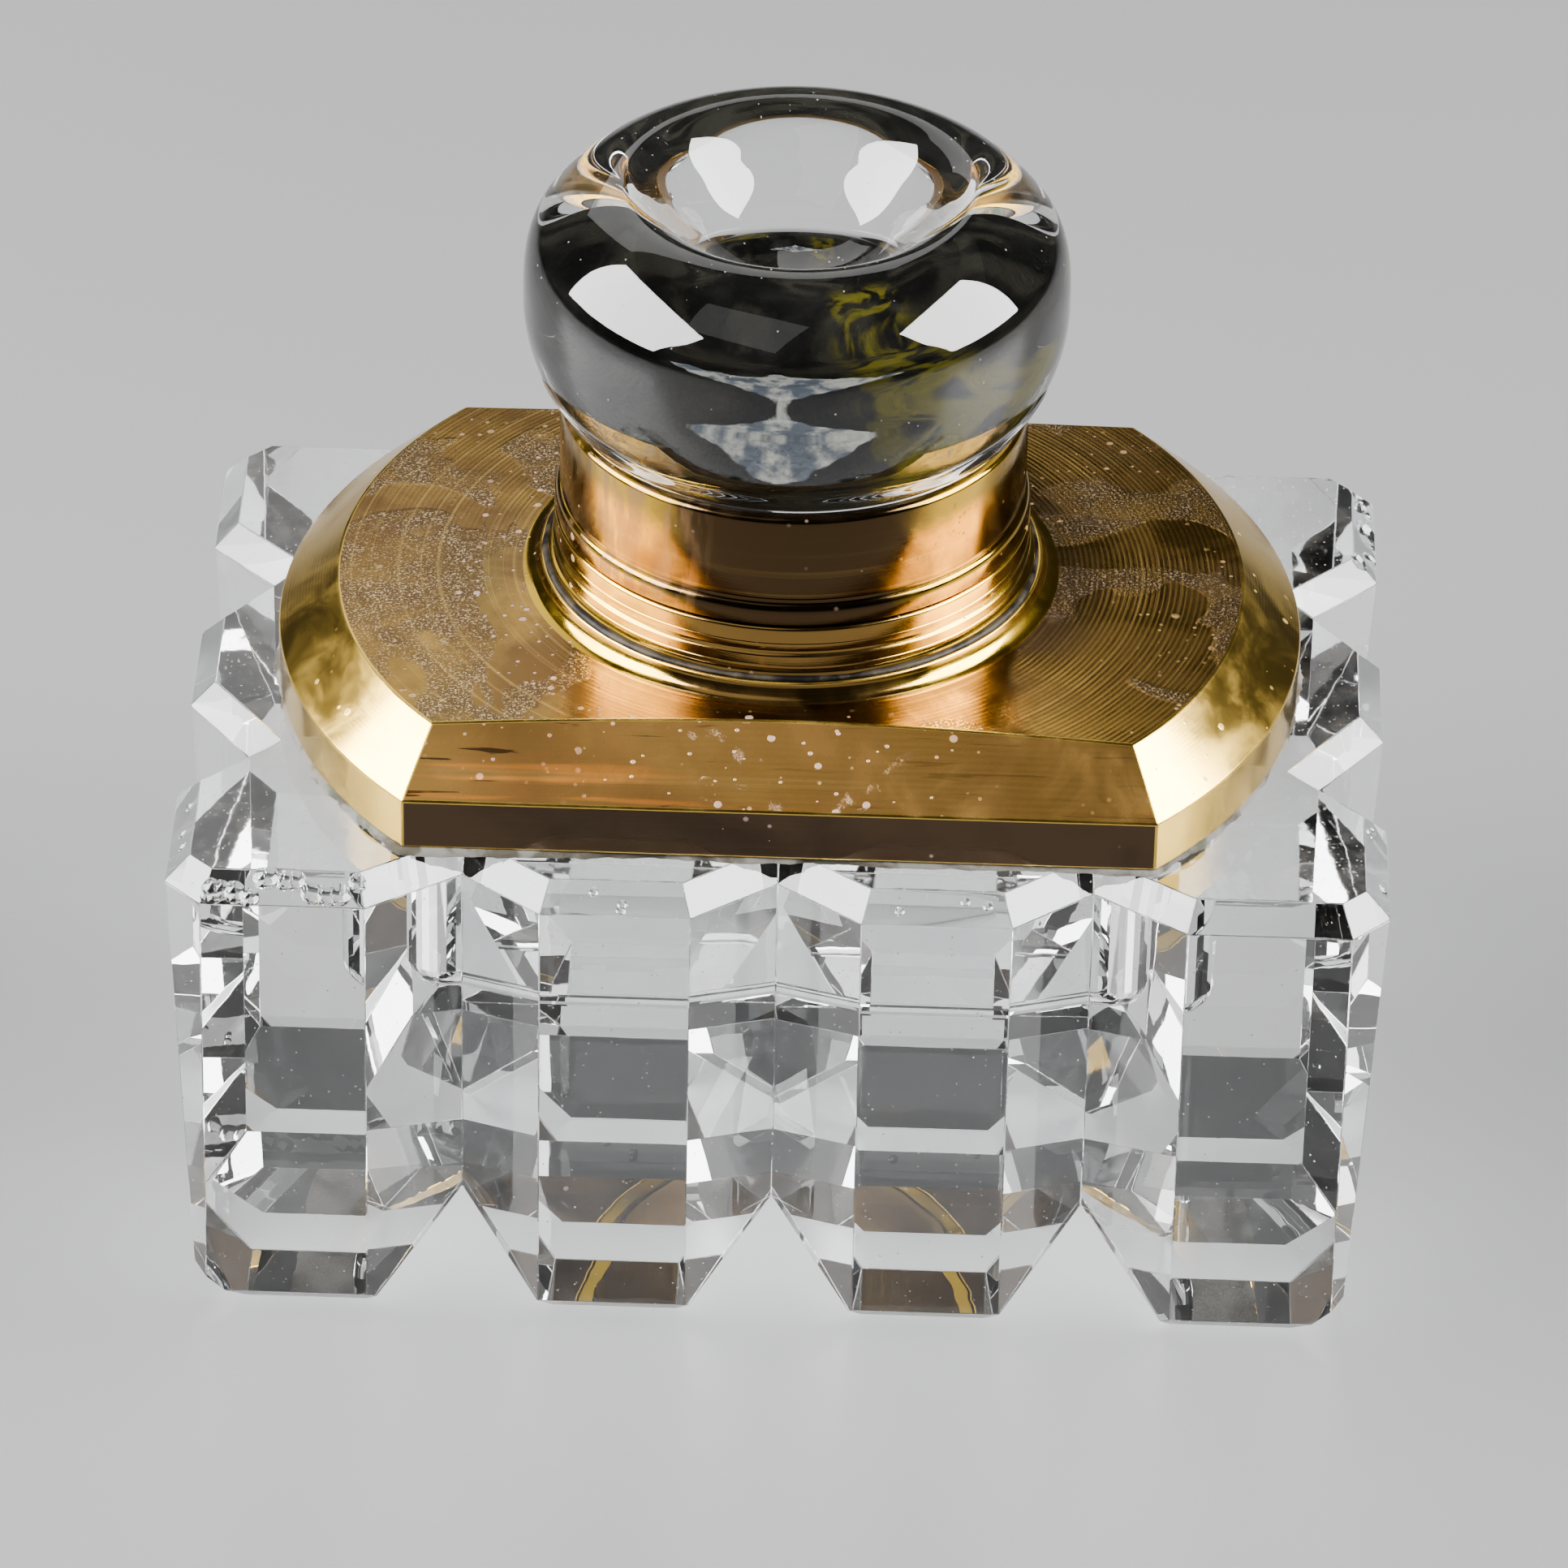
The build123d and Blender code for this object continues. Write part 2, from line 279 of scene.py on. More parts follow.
# --------------------------------------------------------------------------
# Finishes
# --------------------------------------------------------------------------
class NodeBoard:
    """A material's node tree, with short calls for the nodes used here."""

    def __init__(self, name: str) -> None:
        """Starts an empty material."""
        self.material = bpy.data.materials.new(name)
        self.material.use_nodes = True
        self.tree = self.material.node_tree
        self.tree.nodes.clear()
        self.output = self.tree.nodes.new("ShaderNodeOutputMaterial")

    def add(self, kind: str, settings: dict[str, object] | None = None,
            **sockets: object) -> bpy.types.Node:
        """Adds a node.

        Args:
            kind: The node's type, without the ShaderNode prefix.
            settings: Properties of the node itself.
            **sockets: Values or output sockets for its inputs, by name with _ for spaces.

        Returns:
            The node.
        """
        node = self.tree.nodes.new("ShaderNode" + kind)
        for key, value in (settings or {}).items():
            setattr(node, key, value)
        for key, value in sockets.items():
            self.plug(node.inputs[key.replace("_", " ")], value)
        return node

    def plug(self, socket: Socket, value: object) -> None:
        """Links an output to a socket, or sets the socket's own value."""
        if isinstance(value, Socket):
            self.tree.links.new(value, socket)
        else:
            socket.default_value = value

    def place(self) -> Socket:
        """The point being shaded, in the piece's own space, in metres."""
        return self.add("TexCoord").outputs["Object"]

    def maths(self, operation: str, first: object, second: object = 0.0,
            clamp: bool = False) -> Socket:
        """One Math node.

        Args:
            operation: Its operation.
            first: First value or socket.
            second: Second value or socket.
            clamp: Whether the result is kept between 0 and 1.

        Returns:
            Its result.
        """
        node = self.add("Math", {"operation": operation, "use_clamp": clamp})
        self.plug(node.inputs[0], first)
        self.plug(node.inputs[1], second)
        return node.outputs[0]

    def reach(self, x: Socket, y: Socket) -> Socket:
        """Distance from the upright axis."""
        return self.maths("SQRT", self.maths("ADD", self.maths("MULTIPLY", x, x),
            self.maths("MULTIPLY", y, y)))

    def stretch(self, value: object, low: float, high: float, to_low: float = 0.0,
                to_high: float = 1.0) -> Socket:
        """Maps a range of values to another, smoothly.

        Args:
            value: The value or socket.
            low: Where the range starts.
            high: Where it ends.
            to_low: Result at the start.
            to_high: Result at the end.

        Returns:
            The mapped value.
        """
        node = self.add("MapRange", {"interpolation_type": "SMOOTHSTEP"})
        for socket, number in zip(node.inputs, (value, low, high, to_low, to_high)):
            self.plug(socket, number)
        return node.outputs[0]

    def cloud(self, where: object, size_mm: float, detail: float = 4.0, rough: float = 0.5,
              warp: float = 0.0) -> Socket:
        """Soft noise whose features are about size_mm across.

        Args:
            where: The coordinates.
            size_mm: Size of a feature, in millimetres.
            detail: Octaves.
            rough: How strong the small octaves are.
            warp: Distortion.

        Returns:
            The noise, from 0 to 1.
        """
        return self.add("TexNoise", Vector=where, Scale=1000.0 / size_mm, Detail=detail, Roughness=rough,
                        Distortion=warp).outputs["Fac"]

    def spots(self, where: object, gap_mm: float, keep: float, radius: float) -> Socket:
        """Scattered round spots.

        Args:
            where: The coordinates.
            gap_mm: Mean distance between spots, in millimetres.
            keep: Share of the cells that hold a spot.
            radius: Spot radius, as a share of the gap.

        Returns:
            1 on a spot and 0 off it, with a soft edge.
        """
        cells = self.add("TexVoronoi", {"feature": "F1"}, Vector=where, Scale=1000.0 / gap_mm)
        chance = self.add("SeparateColor", Color=cells.outputs["Color"])
        chosen = self.maths("LESS_THAN", chance.outputs[0], keep)
        size = self.stretch(chance.outputs[1], 0.0, 1.0, radius * 0.45, radius)
        near = self.maths("SUBTRACT", size, cells.outputs["Distance"])
        disc = self.stretch(near, 0.0, radius * 0.35)
        return self.maths("MULTIPLY", disc, chosen)

    def blend(self, factor: object, first: object, second: object, mode: str = "MIX") -> Socket:
        """Mixes two colours.

        Args:
            factor: How much of the second.
            first: First colour or socket.
            second: Second colour or socket.
            mode: Blend mode.

        Returns:
            The mixed colour.
        """
        node = self.add("Mix", {"data_type": "RGBA", "blend_type": mode})
        self.plug(node.inputs[0], factor)
        self.plug(node.inputs[6], first)
        self.plug(node.inputs[7], second)
        return node.outputs[2]

    def mix_shaders(self, factor: object, first: Socket,
                    second: Socket) -> Socket:
        """Mixes two shaders.

        Args:
            factor: How much of the second.
            first: First shader.
            second: Second shader.

        Returns:
            The mixed shader.
        """
        node = self.add("MixShader")
        for socket, value in zip(node.inputs, (factor, first, second)):
            self.plug(socket, value)
        return node.outputs[0]

    def bump(self, height: object, depth_mm: float, strength: float = 1.0,
             onto: Socket | None = None) -> Socket:
        """Bump from a height of 0 to 1.

        Args:
            height: The height.
            depth_mm: Real depth of a height of 1, in millimetres.
            strength: Strength of the bump.
            onto: A normal to add to.

        Returns:
            The bumped normal.
        """
        node = self.add("Bump", Height=height, Distance=depth_mm * MM, Strength=strength)
        if onto is not None:
            self.plug(node.inputs["Normal"], onto)
        return node.outputs["Normal"]

    def finish(self, shader: Socket) -> Coat:
        """Joins the shader to the output and returns the material."""
        self.plug(self.output.inputs["Surface"], shader)
        return self.material


class Cut(Enum):
    """How a brass surface was worked."""

    TURNED_FACE = "turned_face"
    TURNED_SIDE = "turned_side"
    MILLED = "milled"
    FILED = "filed"


@dataclass(frozen=True)
class Crystal:
    """Clear lead crystal, polished, with slight hand-cut unevenness and a little dust."""

    name: str = "lead_crystal"
    ior: float = 1.54
    wave_mm: float = 7.0
    wave_depth_mm: float = 0.012
    haze: float = 0.0
    dust: float = 0.04

    def material(self) -> Coat:
        """Builds the material.

        Returns:
            Glass that lets lamps through, with faint waves, dust and wear.
        """
        board = NodeBoard(self.name)
        where = board.place()
        normal = board.bump(board.cloud(where, self.wave_mm, detail=2.0), self.wave_depth_mm)
        scratch = board.stretch(board.cloud(where, 0.35, detail=3.0), 0.60, 0.75, self.haze * 0.5,
                                self.haze * 1.5 + 0.05)
        glass = board.add("BsdfPrincipled", Base_Color=(0.985, 0.99, 0.99, 1.0), Transmission_Weight=1.0,
                          IOR=self.ior, Roughness=scratch, Normal=normal)
        powder = board.add("BsdfDiffuse", Color=(0.24, 0.23, 0.215, 1.0), Roughness=0.8)
        dusty = board.mix_shaders(self.cover(board, where), glass.outputs[0], powder.outputs[0])
        clear = board.add("BsdfTransparent", Color=(0.93, 0.94, 0.94, 1.0))
        shadow = board.add("LightPath").outputs["Is Shadow Ray"]
        return board.finish(board.mix_shaders(shadow, dusty, clear.outputs[0]))

    def cover(self, board: NodeBoard, where: Socket) -> Socket:
        """How much dust hides the glass: a thin film and scattered specks.

        Args:
            board: The material's board.
            where: The point being shaded.

        Returns:
            The share of dust, from 0 to 1.
        """
        specks = board.spots(where, 0.28, 0.35 * self.dust + 0.01, 0.30)
        film = board.stretch(board.cloud(where, 4.0, detail=6.0, rough=0.7), 0.42, 0.75, 0.0,
            0.35 * self.dust)
        return board.maths("MULTIPLY", board.maths("MAXIMUM", film, specks), 0.8)


@dataclass
class Skin:
    """A metal surface while its layers are being added."""

    board: NodeBoard
    where: Socket
    x: Socket
    y: Socket
    z: Socket
    broad: Socket
    middle: Socket
    grain: Socket
    colour: object
    rough: object
    metal: object
    relief: object

    def tint(self, mask: object, colour: object, strength: float = 1.0) -> None:
        """Lays a colour over the skin where the mask is."""
        share = mask if strength == 1.0 else self.board.maths("MULTIPLY", mask, strength)
        self.colour = self.board.blend(share, self.colour, colour)

    def roughen(self, mask: object, amount: float) -> None:
        """Makes the skin duller where the mask is."""
        self.rough = self.board.maths("ADD", self.rough, self.board.maths("MULTIPLY", mask, amount))

    def raise_up(self, mask: object, amount: float) -> None:
        """Lifts the skin where the mask is."""
        self.relief = self.board.maths("ADD", self.relief, self.board.maths("MULTIPLY", mask, amount))


@dataclass(frozen=True)
class AgedBrass:
    """Turned brass gone golden brown: bloom with painted glints, pale spots, tooling lines with a painted
    highlight, and a painted dark reflection at front and back that leaves the sides bright.
    """

    name: str
    cut: Cut
    gold: Colour = (0.74, 0.475, 0.085, 1.0)
    brown: Colour = (0.36, 0.205, 0.045, 1.0)
    age: float = 0.5
    bloom: float = 0.0
    spots: float = 0.2
    halo: float = 0.0
    streaks: float = 0.0
    # How strongly a painted dark reflection covers the front and back, and the colour it is painted in.
    painted_dark_reflection: float = 0.0
    dark_reflection_colour: Colour = (0.085, 0.052, 0.026, 1.0)
    runs: float = 0.0
    polish: float = 0.2
    pitch_mm: float = 0.18
    depth_mm: float = 0.005
    lines: float = 0.22

    def across(self, skin: Skin) -> Socket:
        """The coordinate that the tool stepped along.

        Args:
            skin: The surface.

        Returns:
            Distance across the tooling lines, in metres.
        """
        board = skin.board
        if self.cut is Cut.TURNED_FACE:
            return board.reach(skin.x, skin.y)
        if self.cut is Cut.TURNED_SIDE:
            return skin.z
        if self.cut is Cut.MILLED:
            return board.maths("SUBTRACT", skin.z, board.maths("MULTIPLY", skin.y, 0.35))
        return board.maths("ADD", board.maths("MULTIPLY", skin.x, 0.2), skin.z)

    def base(self) -> Skin:
        """Bare metal: gold where it is handled, brown where it is left alone, olive between.

        Returns:
            The surface with its ground tone.
        """
        board = NodeBoard(self.name)
        where = board.place()
        x, y, z = board.add("SeparateXYZ", Vector=where).outputs
        broad = board.cloud(where, 22.0, detail=3.0, rough=0.45, warp=0.9)
        middle = board.cloud(where, 5.0, detail=5.0, rough=0.6, warp=0.7)
        grain = board.cloud(where, 0.16, detail=2.0, rough=0.7)
        tone = board.maths("ADD", board.maths("MULTIPLY", broad, 0.65), board.maths("MULTIPLY", middle, 0.35))
        colour = board.blend(board.stretch(tone, 0.62 - 0.3 * self.age, 0.86 - 0.3 * self.age), self.gold,
            self.brown)
        rough = board.stretch(middle, 0.35, 0.7, self.polish - 0.05, self.polish + 0.07)
        skin = Skin(board, where, x, y, z, broad, middle, grain, colour, rough, 1.0,
                    board.maths("MULTIPLY", grain, 0.10))
        olive = board.stretch(board.cloud(where, 11.0, detail=3.0, warp=1.2), 0.52, 0.70)
        faded = tuple(0.42 * value for value in (self.gold[0], self.gold[1] * 1.22,
            self.gold[2] * 1.3)) + (1.0,)
        skin.tint(olive, faded, 0.5 * self.age)
        return skin

    def add_streaks(self, skin: Skin) -> None:
        """Copper-coloured bands of painted reflection and short black dashes along a milled slope."""
        board = skin.board
        along = board.add("CombineXYZ", X=board.maths("MULTIPLY", skin.x, 0.06), Y=skin.y,
            Z=skin.z).outputs[0]
        # The copper-coloured bands are a painted reflection, strongest low on the slope and on the left.
        reflection_streaks = board.stretch(board.cloud(along, 1.1, detail=3.0), 0.52, 0.66)
        low = board.stretch(skin.z, 39.0 * MM, 36.6 * MM)
        side = board.stretch(skin.x, -2.0 * MM, -12.0 * MM, 0.35, 1.0)
        skin.tint(board.maths("MULTIPLY", board.maths("MULTIPLY", reflection_streaks, low), side),
            (0.95, 0.33, 0.050, 1.0),
                  self.streaks)
        dashes = board.stretch(board.cloud(along, 0.45, detail=5.0, warp=0.4), 0.62, 0.66)
        skin.tint(board.maths("MULTIPLY", dashes, side), (0.03, 0.018, 0.010, 1.0), self.streaks)
        smear = board.stretch(board.cloud(skin.where, 3.6, detail=5.0, warp=1.6), 0.58, 0.64)
        middle = board.stretch(board.maths("ABSOLUTE", skin.x), 9.0 * MM, 5.0 * MM)
        crust = board.maths("MULTIPLY", board.maths("MULTIPLY", smear, middle),
            board.stretch(skin.grain, 0.35, 0.6))
        skin.tint(crust, (0.36, 0.24, 0.15, 1.0), self.streaks)
        skin.roughen(crust, 0.25)

    def add_bloom(self, skin: Skin) -> None:
        """Crisp-edged areas of grey-gold bloom whose bright grains are painted glints, mostly away from the
        front.
        """
        board = skin.board
        drift = board.maths("ADD", board.stretch(skin.y, -13.0 * MM, 3.0 * MM, -0.13, 0.02),
                            board.stretch(skin.x, 8.0 * MM, 22.0 * MM, 0.0, -0.05))
        spread = board.maths("ADD", board.cloud(skin.where, 15.0, detail=3.0, rough=0.5, warp=1.5), drift)
        area = board.stretch(spread, 0.58 - 0.2 * self.bloom, 0.62 - 0.2 * self.bloom)
        # The bloom's dark grains are its own colour; its bright grains are painted glints.
        painted_glints = board.stretch(skin.grain, 0.53, 0.62)
        bloom_and_glints = board.blend(painted_glints, (0.135, 0.080, 0.034, 1.0), (0.82, 0.60, 0.33, 1.0))
        thick = board.stretch(board.cloud(skin.where, 3.0, detail=4.0, warp=0.5), 0.38, 0.60, 0.35, 0.85)
        skin.tint(board.maths("MULTIPLY", area, thick), bloom_and_glints)
        skin.roughen(area, 0.08)
        skin.raise_up(board.maths("MULTIPLY", area, skin.grain), 1.5)

    def add_heat(self, skin: Skin) -> None:
        """A purplish heat mark round the soldered neck."""
        board = skin.board
        near = board.stretch(board.reach(skin.x, skin.y), 17.5 * MM, 22.0 * MM, 1.0, 0.0)
        side = board.stretch(skin.x, -10.0 * MM, -3.0 * MM, 0.25, 1.0)
        heat = board.maths("MULTIPLY", near, board.stretch(skin.middle, 0.34, 0.60, 0.25, 1.0))
        skin.tint(board.maths("MULTIPLY", heat, side), (0.055, 0.034, 0.032, 1.0), self.halo)

    def add_painted_dark_reflection(self, skin: Skin) -> None:
        """Painted dark reflection at the front and back; the sides keep their bright metal."""
        board = skin.board
        # Painted dark reflection: strongest where |x| is small, fading out towards the sides.
        side = board.maths("ADD", board.maths("ABSOLUTE", skin.x),
                           board.maths("MULTIPLY", board.maths("SUBTRACT", skin.middle, 0.5), 7.0 * MM))
        skin.tint(board.stretch(side, 5.5 * MM, 10.5 * MM, 1.0, 0.0), self.dark_reflection_colour, self.painted_dark_reflection)

    def add_runs(self, skin: Skin) -> None:
        """Upright runs of bare gold and brown on the left, and fine dark pits on the right."""
        board = skin.board
        down = board.add("CombineXYZ", X=skin.x, Y=skin.y, Z=board.maths("MULTIPLY", skin.z, 0.16)).outputs[0]
        left = board.stretch(skin.x, -4.0 * MM, -7.0 * MM)
        streak = board.stretch(board.cloud(down, 0.9, detail=4.0), 0.44, 0.56)
        skin.tint(board.maths("MULTIPLY", streak, left), (0.20, 0.115, 0.05, 1.0), 0.75 * self.runs)
        skin.roughen(board.maths("MULTIPLY", streak, left), 0.10)
        right = board.stretch(skin.x, 5.0 * MM, 8.0 * MM)
        pits = board.maths("MULTIPLY", board.spots(skin.where, 0.30, 0.5, 0.42), right)
        dense = board.stretch(board.cloud(skin.where, 3.0, detail=3.0), 0.42, 0.60)
        skin.tint(board.maths("MULTIPLY", pits, dense), (0.12, 0.055, 0.018, 1.0), 0.8 * self.runs)

    def add_spots(self, skin: Skin) -> None:
        """Pinkish crusts, thickest to the left of the neck and along the front edge."""
        board = skin.board
        beside = board.maths("MULTIPLY", board.stretch(skin.x, -8.0 * MM, -14.0 * MM),
                             board.stretch(board.reach(skin.x, skin.y), 24.0 * MM, 20.0 * MM))
        rim = board.maths("MULTIPLY", board.stretch(skin.y, -16.5 * MM, -18.5 * MM),
                          board.stretch(board.maths("ABSOLUTE", skin.x), 14.0 * MM, 9.0 * MM))
        dense = board.maths("MAXIMUM", beside, rim)
        cloudy = board.stretch(board.cloud(skin.where, 7.0, detail=2.0), 0.46, 0.60)
        where_at = board.maths("MAXIMUM", dense, board.maths("MULTIPLY", cloudy, 0.5))
        large = board.spots(skin.where, 1.05, 0.50 * self.spots + 0.05, 0.29)
        small = board.spots(skin.where, 0.58, 0.55 * self.spots, 0.29)
        marks = board.maths("MULTIPLY", board.maths("MAXIMUM", large, small), where_at)
        skin.tint(marks, board.blend(skin.middle, (0.15, 0.075, 0.065, 1.0), (0.34, 0.25, 0.235, 1.0)), 0.9)
        skin.metal = board.maths("SUBTRACT", 1.0, board.maths("MULTIPLY", marks, 0.7))
        skin.roughen(marks, 0.3)
        skin.raise_up(marks, 1.8)

    def tooling(self, skin: Skin) -> Socket:
        """A fine thread and slower bands from the tool, which come and go.

        Args:
            skin: The surface, whose colour takes a painted highlight on the brightest tool bands.

        Returns:
            The bumped normal.
        """
        board = skin.board
        across = self.across(skin)
        jitter = board.maths("MULTIPLY", board.cloud(skin.where, 3.5, detail=2.0), 0.12 * MM)
        turns = board.maths("MULTIPLY", board.maths("ADD", across, jitter),
            2.0 * math.pi / (self.pitch_mm * MM))
        thread = board.maths("MULTIPLY", board.maths("SINE", turns), 0.12)
        bands = board.add("TexNoise", {"noise_dimensions": "1D"}, W=board.maths("MULTIPLY", across, 1100.0),
                          Scale=1.0, Detail=6.0, Roughness=0.8).outputs["Fac"]
        fade = board.stretch(skin.broad, 0.42, 0.58, 0.15, 1.0)
        height = board.maths("MULTIPLY", board.maths("MULTIPLY", bands, 1.5), fade)
        # The tool bands are real relief; the bright gold laid on the brightest of them is a painted
        # highlight.
        bright = board.maths("MULTIPLY", board.stretch(bands, 0.54, 0.66), fade)
        skin.tint(bright, (0.86, 0.58, 0.16, 1.0), self.lines)
        normal = board.bump(board.maths("ADD", height, thread), self.depth_mm)
        return board.bump(skin.relief, 0.010, onto=normal)

    def material(self) -> Coat:
        """Builds the material, layer by layer.

        Returns:
            The brass.
        """
        skin = self.base()
        for strength, layer in ((self.streaks, self.add_streaks), (self.bloom, self.add_bloom),
                                (self.halo, self.add_heat), (self.painted_dark_reflection, self.add_painted_dark_reflection),
                                (self.runs, self.add_runs), (self.spots, self.add_spots)):
            if strength > 0.0:
                layer(skin)
        normal = self.tooling(skin)
        brass = skin.board.add("BsdfPrincipled", Base_Color=skin.colour, Metallic=skin.metal,
            Roughness=skin.rough,
                               Normal=normal)
        return skin.board.finish(brass.outputs[0])


@dataclass(frozen=True)
class OldPlaster:
    """Chalky plaster, stained and crumbling."""

    name: str = "old_plaster"
    pale: Colour = (0.115, 0.108, 0.095, 1.0)
    stain: Colour = (0.042, 0.037, 0.027, 1.0)
    stained: float = 0.6
    shine: float = 0.2

    def tone(self, board: NodeBoard, where: Socket) -> Socket:
        """The plaster's own colour: pale, with stains and a touch of green from the brass.

        Args:
            board: The material's board.
            where: The point being shaded.

        Returns:
            The colour.
        """
        broad = board.cloud(where, 3.0, detail=5.0, warp=0.4)
        mask = board.stretch(broad, 0.62 - 0.25 * self.stained, 0.74 - 0.25 * self.stained)
        colour = board.blend(mask, self.pale, self.stain)
        green = board.stretch(board.cloud(where, 5.0, detail=4.0, warp=1.0), 0.58, 0.66, 0.0, 0.6)
        return board.blend(green, colour, (0.025, 0.038, 0.020, 1.0))

    def material(self) -> Coat:
        """Builds the material.

        Returns:
            The plaster.
        """
        board = NodeBoard(self.name)
        where = board.place()
        grain = board.cloud(where, 0.15, detail=3.0)
        normal = board.bump(grain, 0.06)
        shader = board.add("BsdfPrincipled", Base_Color=self.tone(board, where), Roughness=0.9, Normal=normal)
        shader.inputs["Specular IOR Level"].default_value = self.shine
        return board.finish(shader.outputs[0])


@dataclass(frozen=True)
class StubDarkReflectionAndCement(OldPlaster):
    """Near-black painted dark reflection on the finial's ground stub, with one clean white patch at the back.
    """

    name: str = "stub_dark_reflection_and_cement"
    shine: float = 0.0
    patch_x: float = -0.55
    patch_z: float = 49.4
    patch_size: float = 1.25

    def tone(self, board: NodeBoard, where: Socket) -> Socket:
        """Near-black painted dark reflection with olive streaks, and the white patch.

        Args:
            board: The material's board.
            where: The point being shaded.

        Returns:
            The colour.
        """
        x, y, z = board.add("SeparateXYZ", Vector=where).outputs
        # The near-black is a painted dark reflection, standing in for the dark that the stub's polished foot
        # mirrors.
        dark_reflection_mottle = board.cloud(where, 2.2, detail=5.0, warp=0.8)
        colour = board.blend(board.stretch(dark_reflection_mottle, 0.45, 0.62), (0.0015, 0.0015, 0.0013, 1.0),
            (0.0060, 0.0058, 0.0042, 1.0))
        streak = board.stretch(board.maths("ABSOLUTE", board.maths("SUBTRACT", x, 2.3 * MM)), 1.6 * MM,
            0.7 * MM)
        olive = board.maths("MULTIPLY", streak, board.stretch(board.cloud(where, 1.1, detail=5.0, warp=1.0),
            0.46, 0.60))
        at_back = board.stretch(y, 7.0 * MM, 9.0 * MM)
        colour = board.blend(board.maths("MULTIPLY", olive, at_back), colour, (0.030, 0.026, 0.0025, 1.0))
        ragged = board.maths("MULTIPLY", board.maths("SUBTRACT", board.cloud(where, 0.9, detail=4.0), 0.5),
            1.6 * MM)
        side = board.maths("ABSOLUTE", board.maths("SUBTRACT", x, self.patch_x * MM))
        rise = board.maths("ABSOLUTE", board.maths("SUBTRACT", z, self.patch_z * MM))
        low = board.maths("MULTIPLY", rise, 1.5)
        edge = board.maths("ADD", board.maths("MULTIPLY", side, 0.5), board.maths("ADD", low, ragged))
        here = board.stretch(edge, self.patch_size * MM, (self.patch_size + 0.1) * MM, 1.0, 0.0)
        chalk = board.blend(board.stretch(board.cloud(where, 0.5, detail=4.0), 0.42, 0.60),
                            (0.17, 0.17, 0.155, 1.0), (0.035, 0.042, 0.052, 1.0))
        return board.blend(board.maths("MULTIPLY", here, at_back), colour, chalk)


@dataclass(frozen=True)
class SoftSolder:
    """Dull grey solder with a darkened, oxidised skin."""

    name: str = "soft_solder"

    def material(self) -> Coat:
        """Builds the material.

        Returns:
            The solder.
        """
        board = NodeBoard(self.name)
        where = board.place()
        patch = board.cloud(where, 1.4, detail=5.0)
        colour = board.blend(board.stretch(patch, 0.35, 0.65), (0.008, 0.007, 0.007, 1.0),
            (0.036, 0.030, 0.022, 1.0))
        rough = board.stretch(patch, 0.3, 0.7, 0.40, 0.62)
        normal = board.bump(board.cloud(where, 0.3), 0.03)
        shader = board.add("BsdfPrincipled", Base_Color=colour, Metallic=0.9, Roughness=rough, Normal=normal)
        return board.finish(shader.outputs[0])


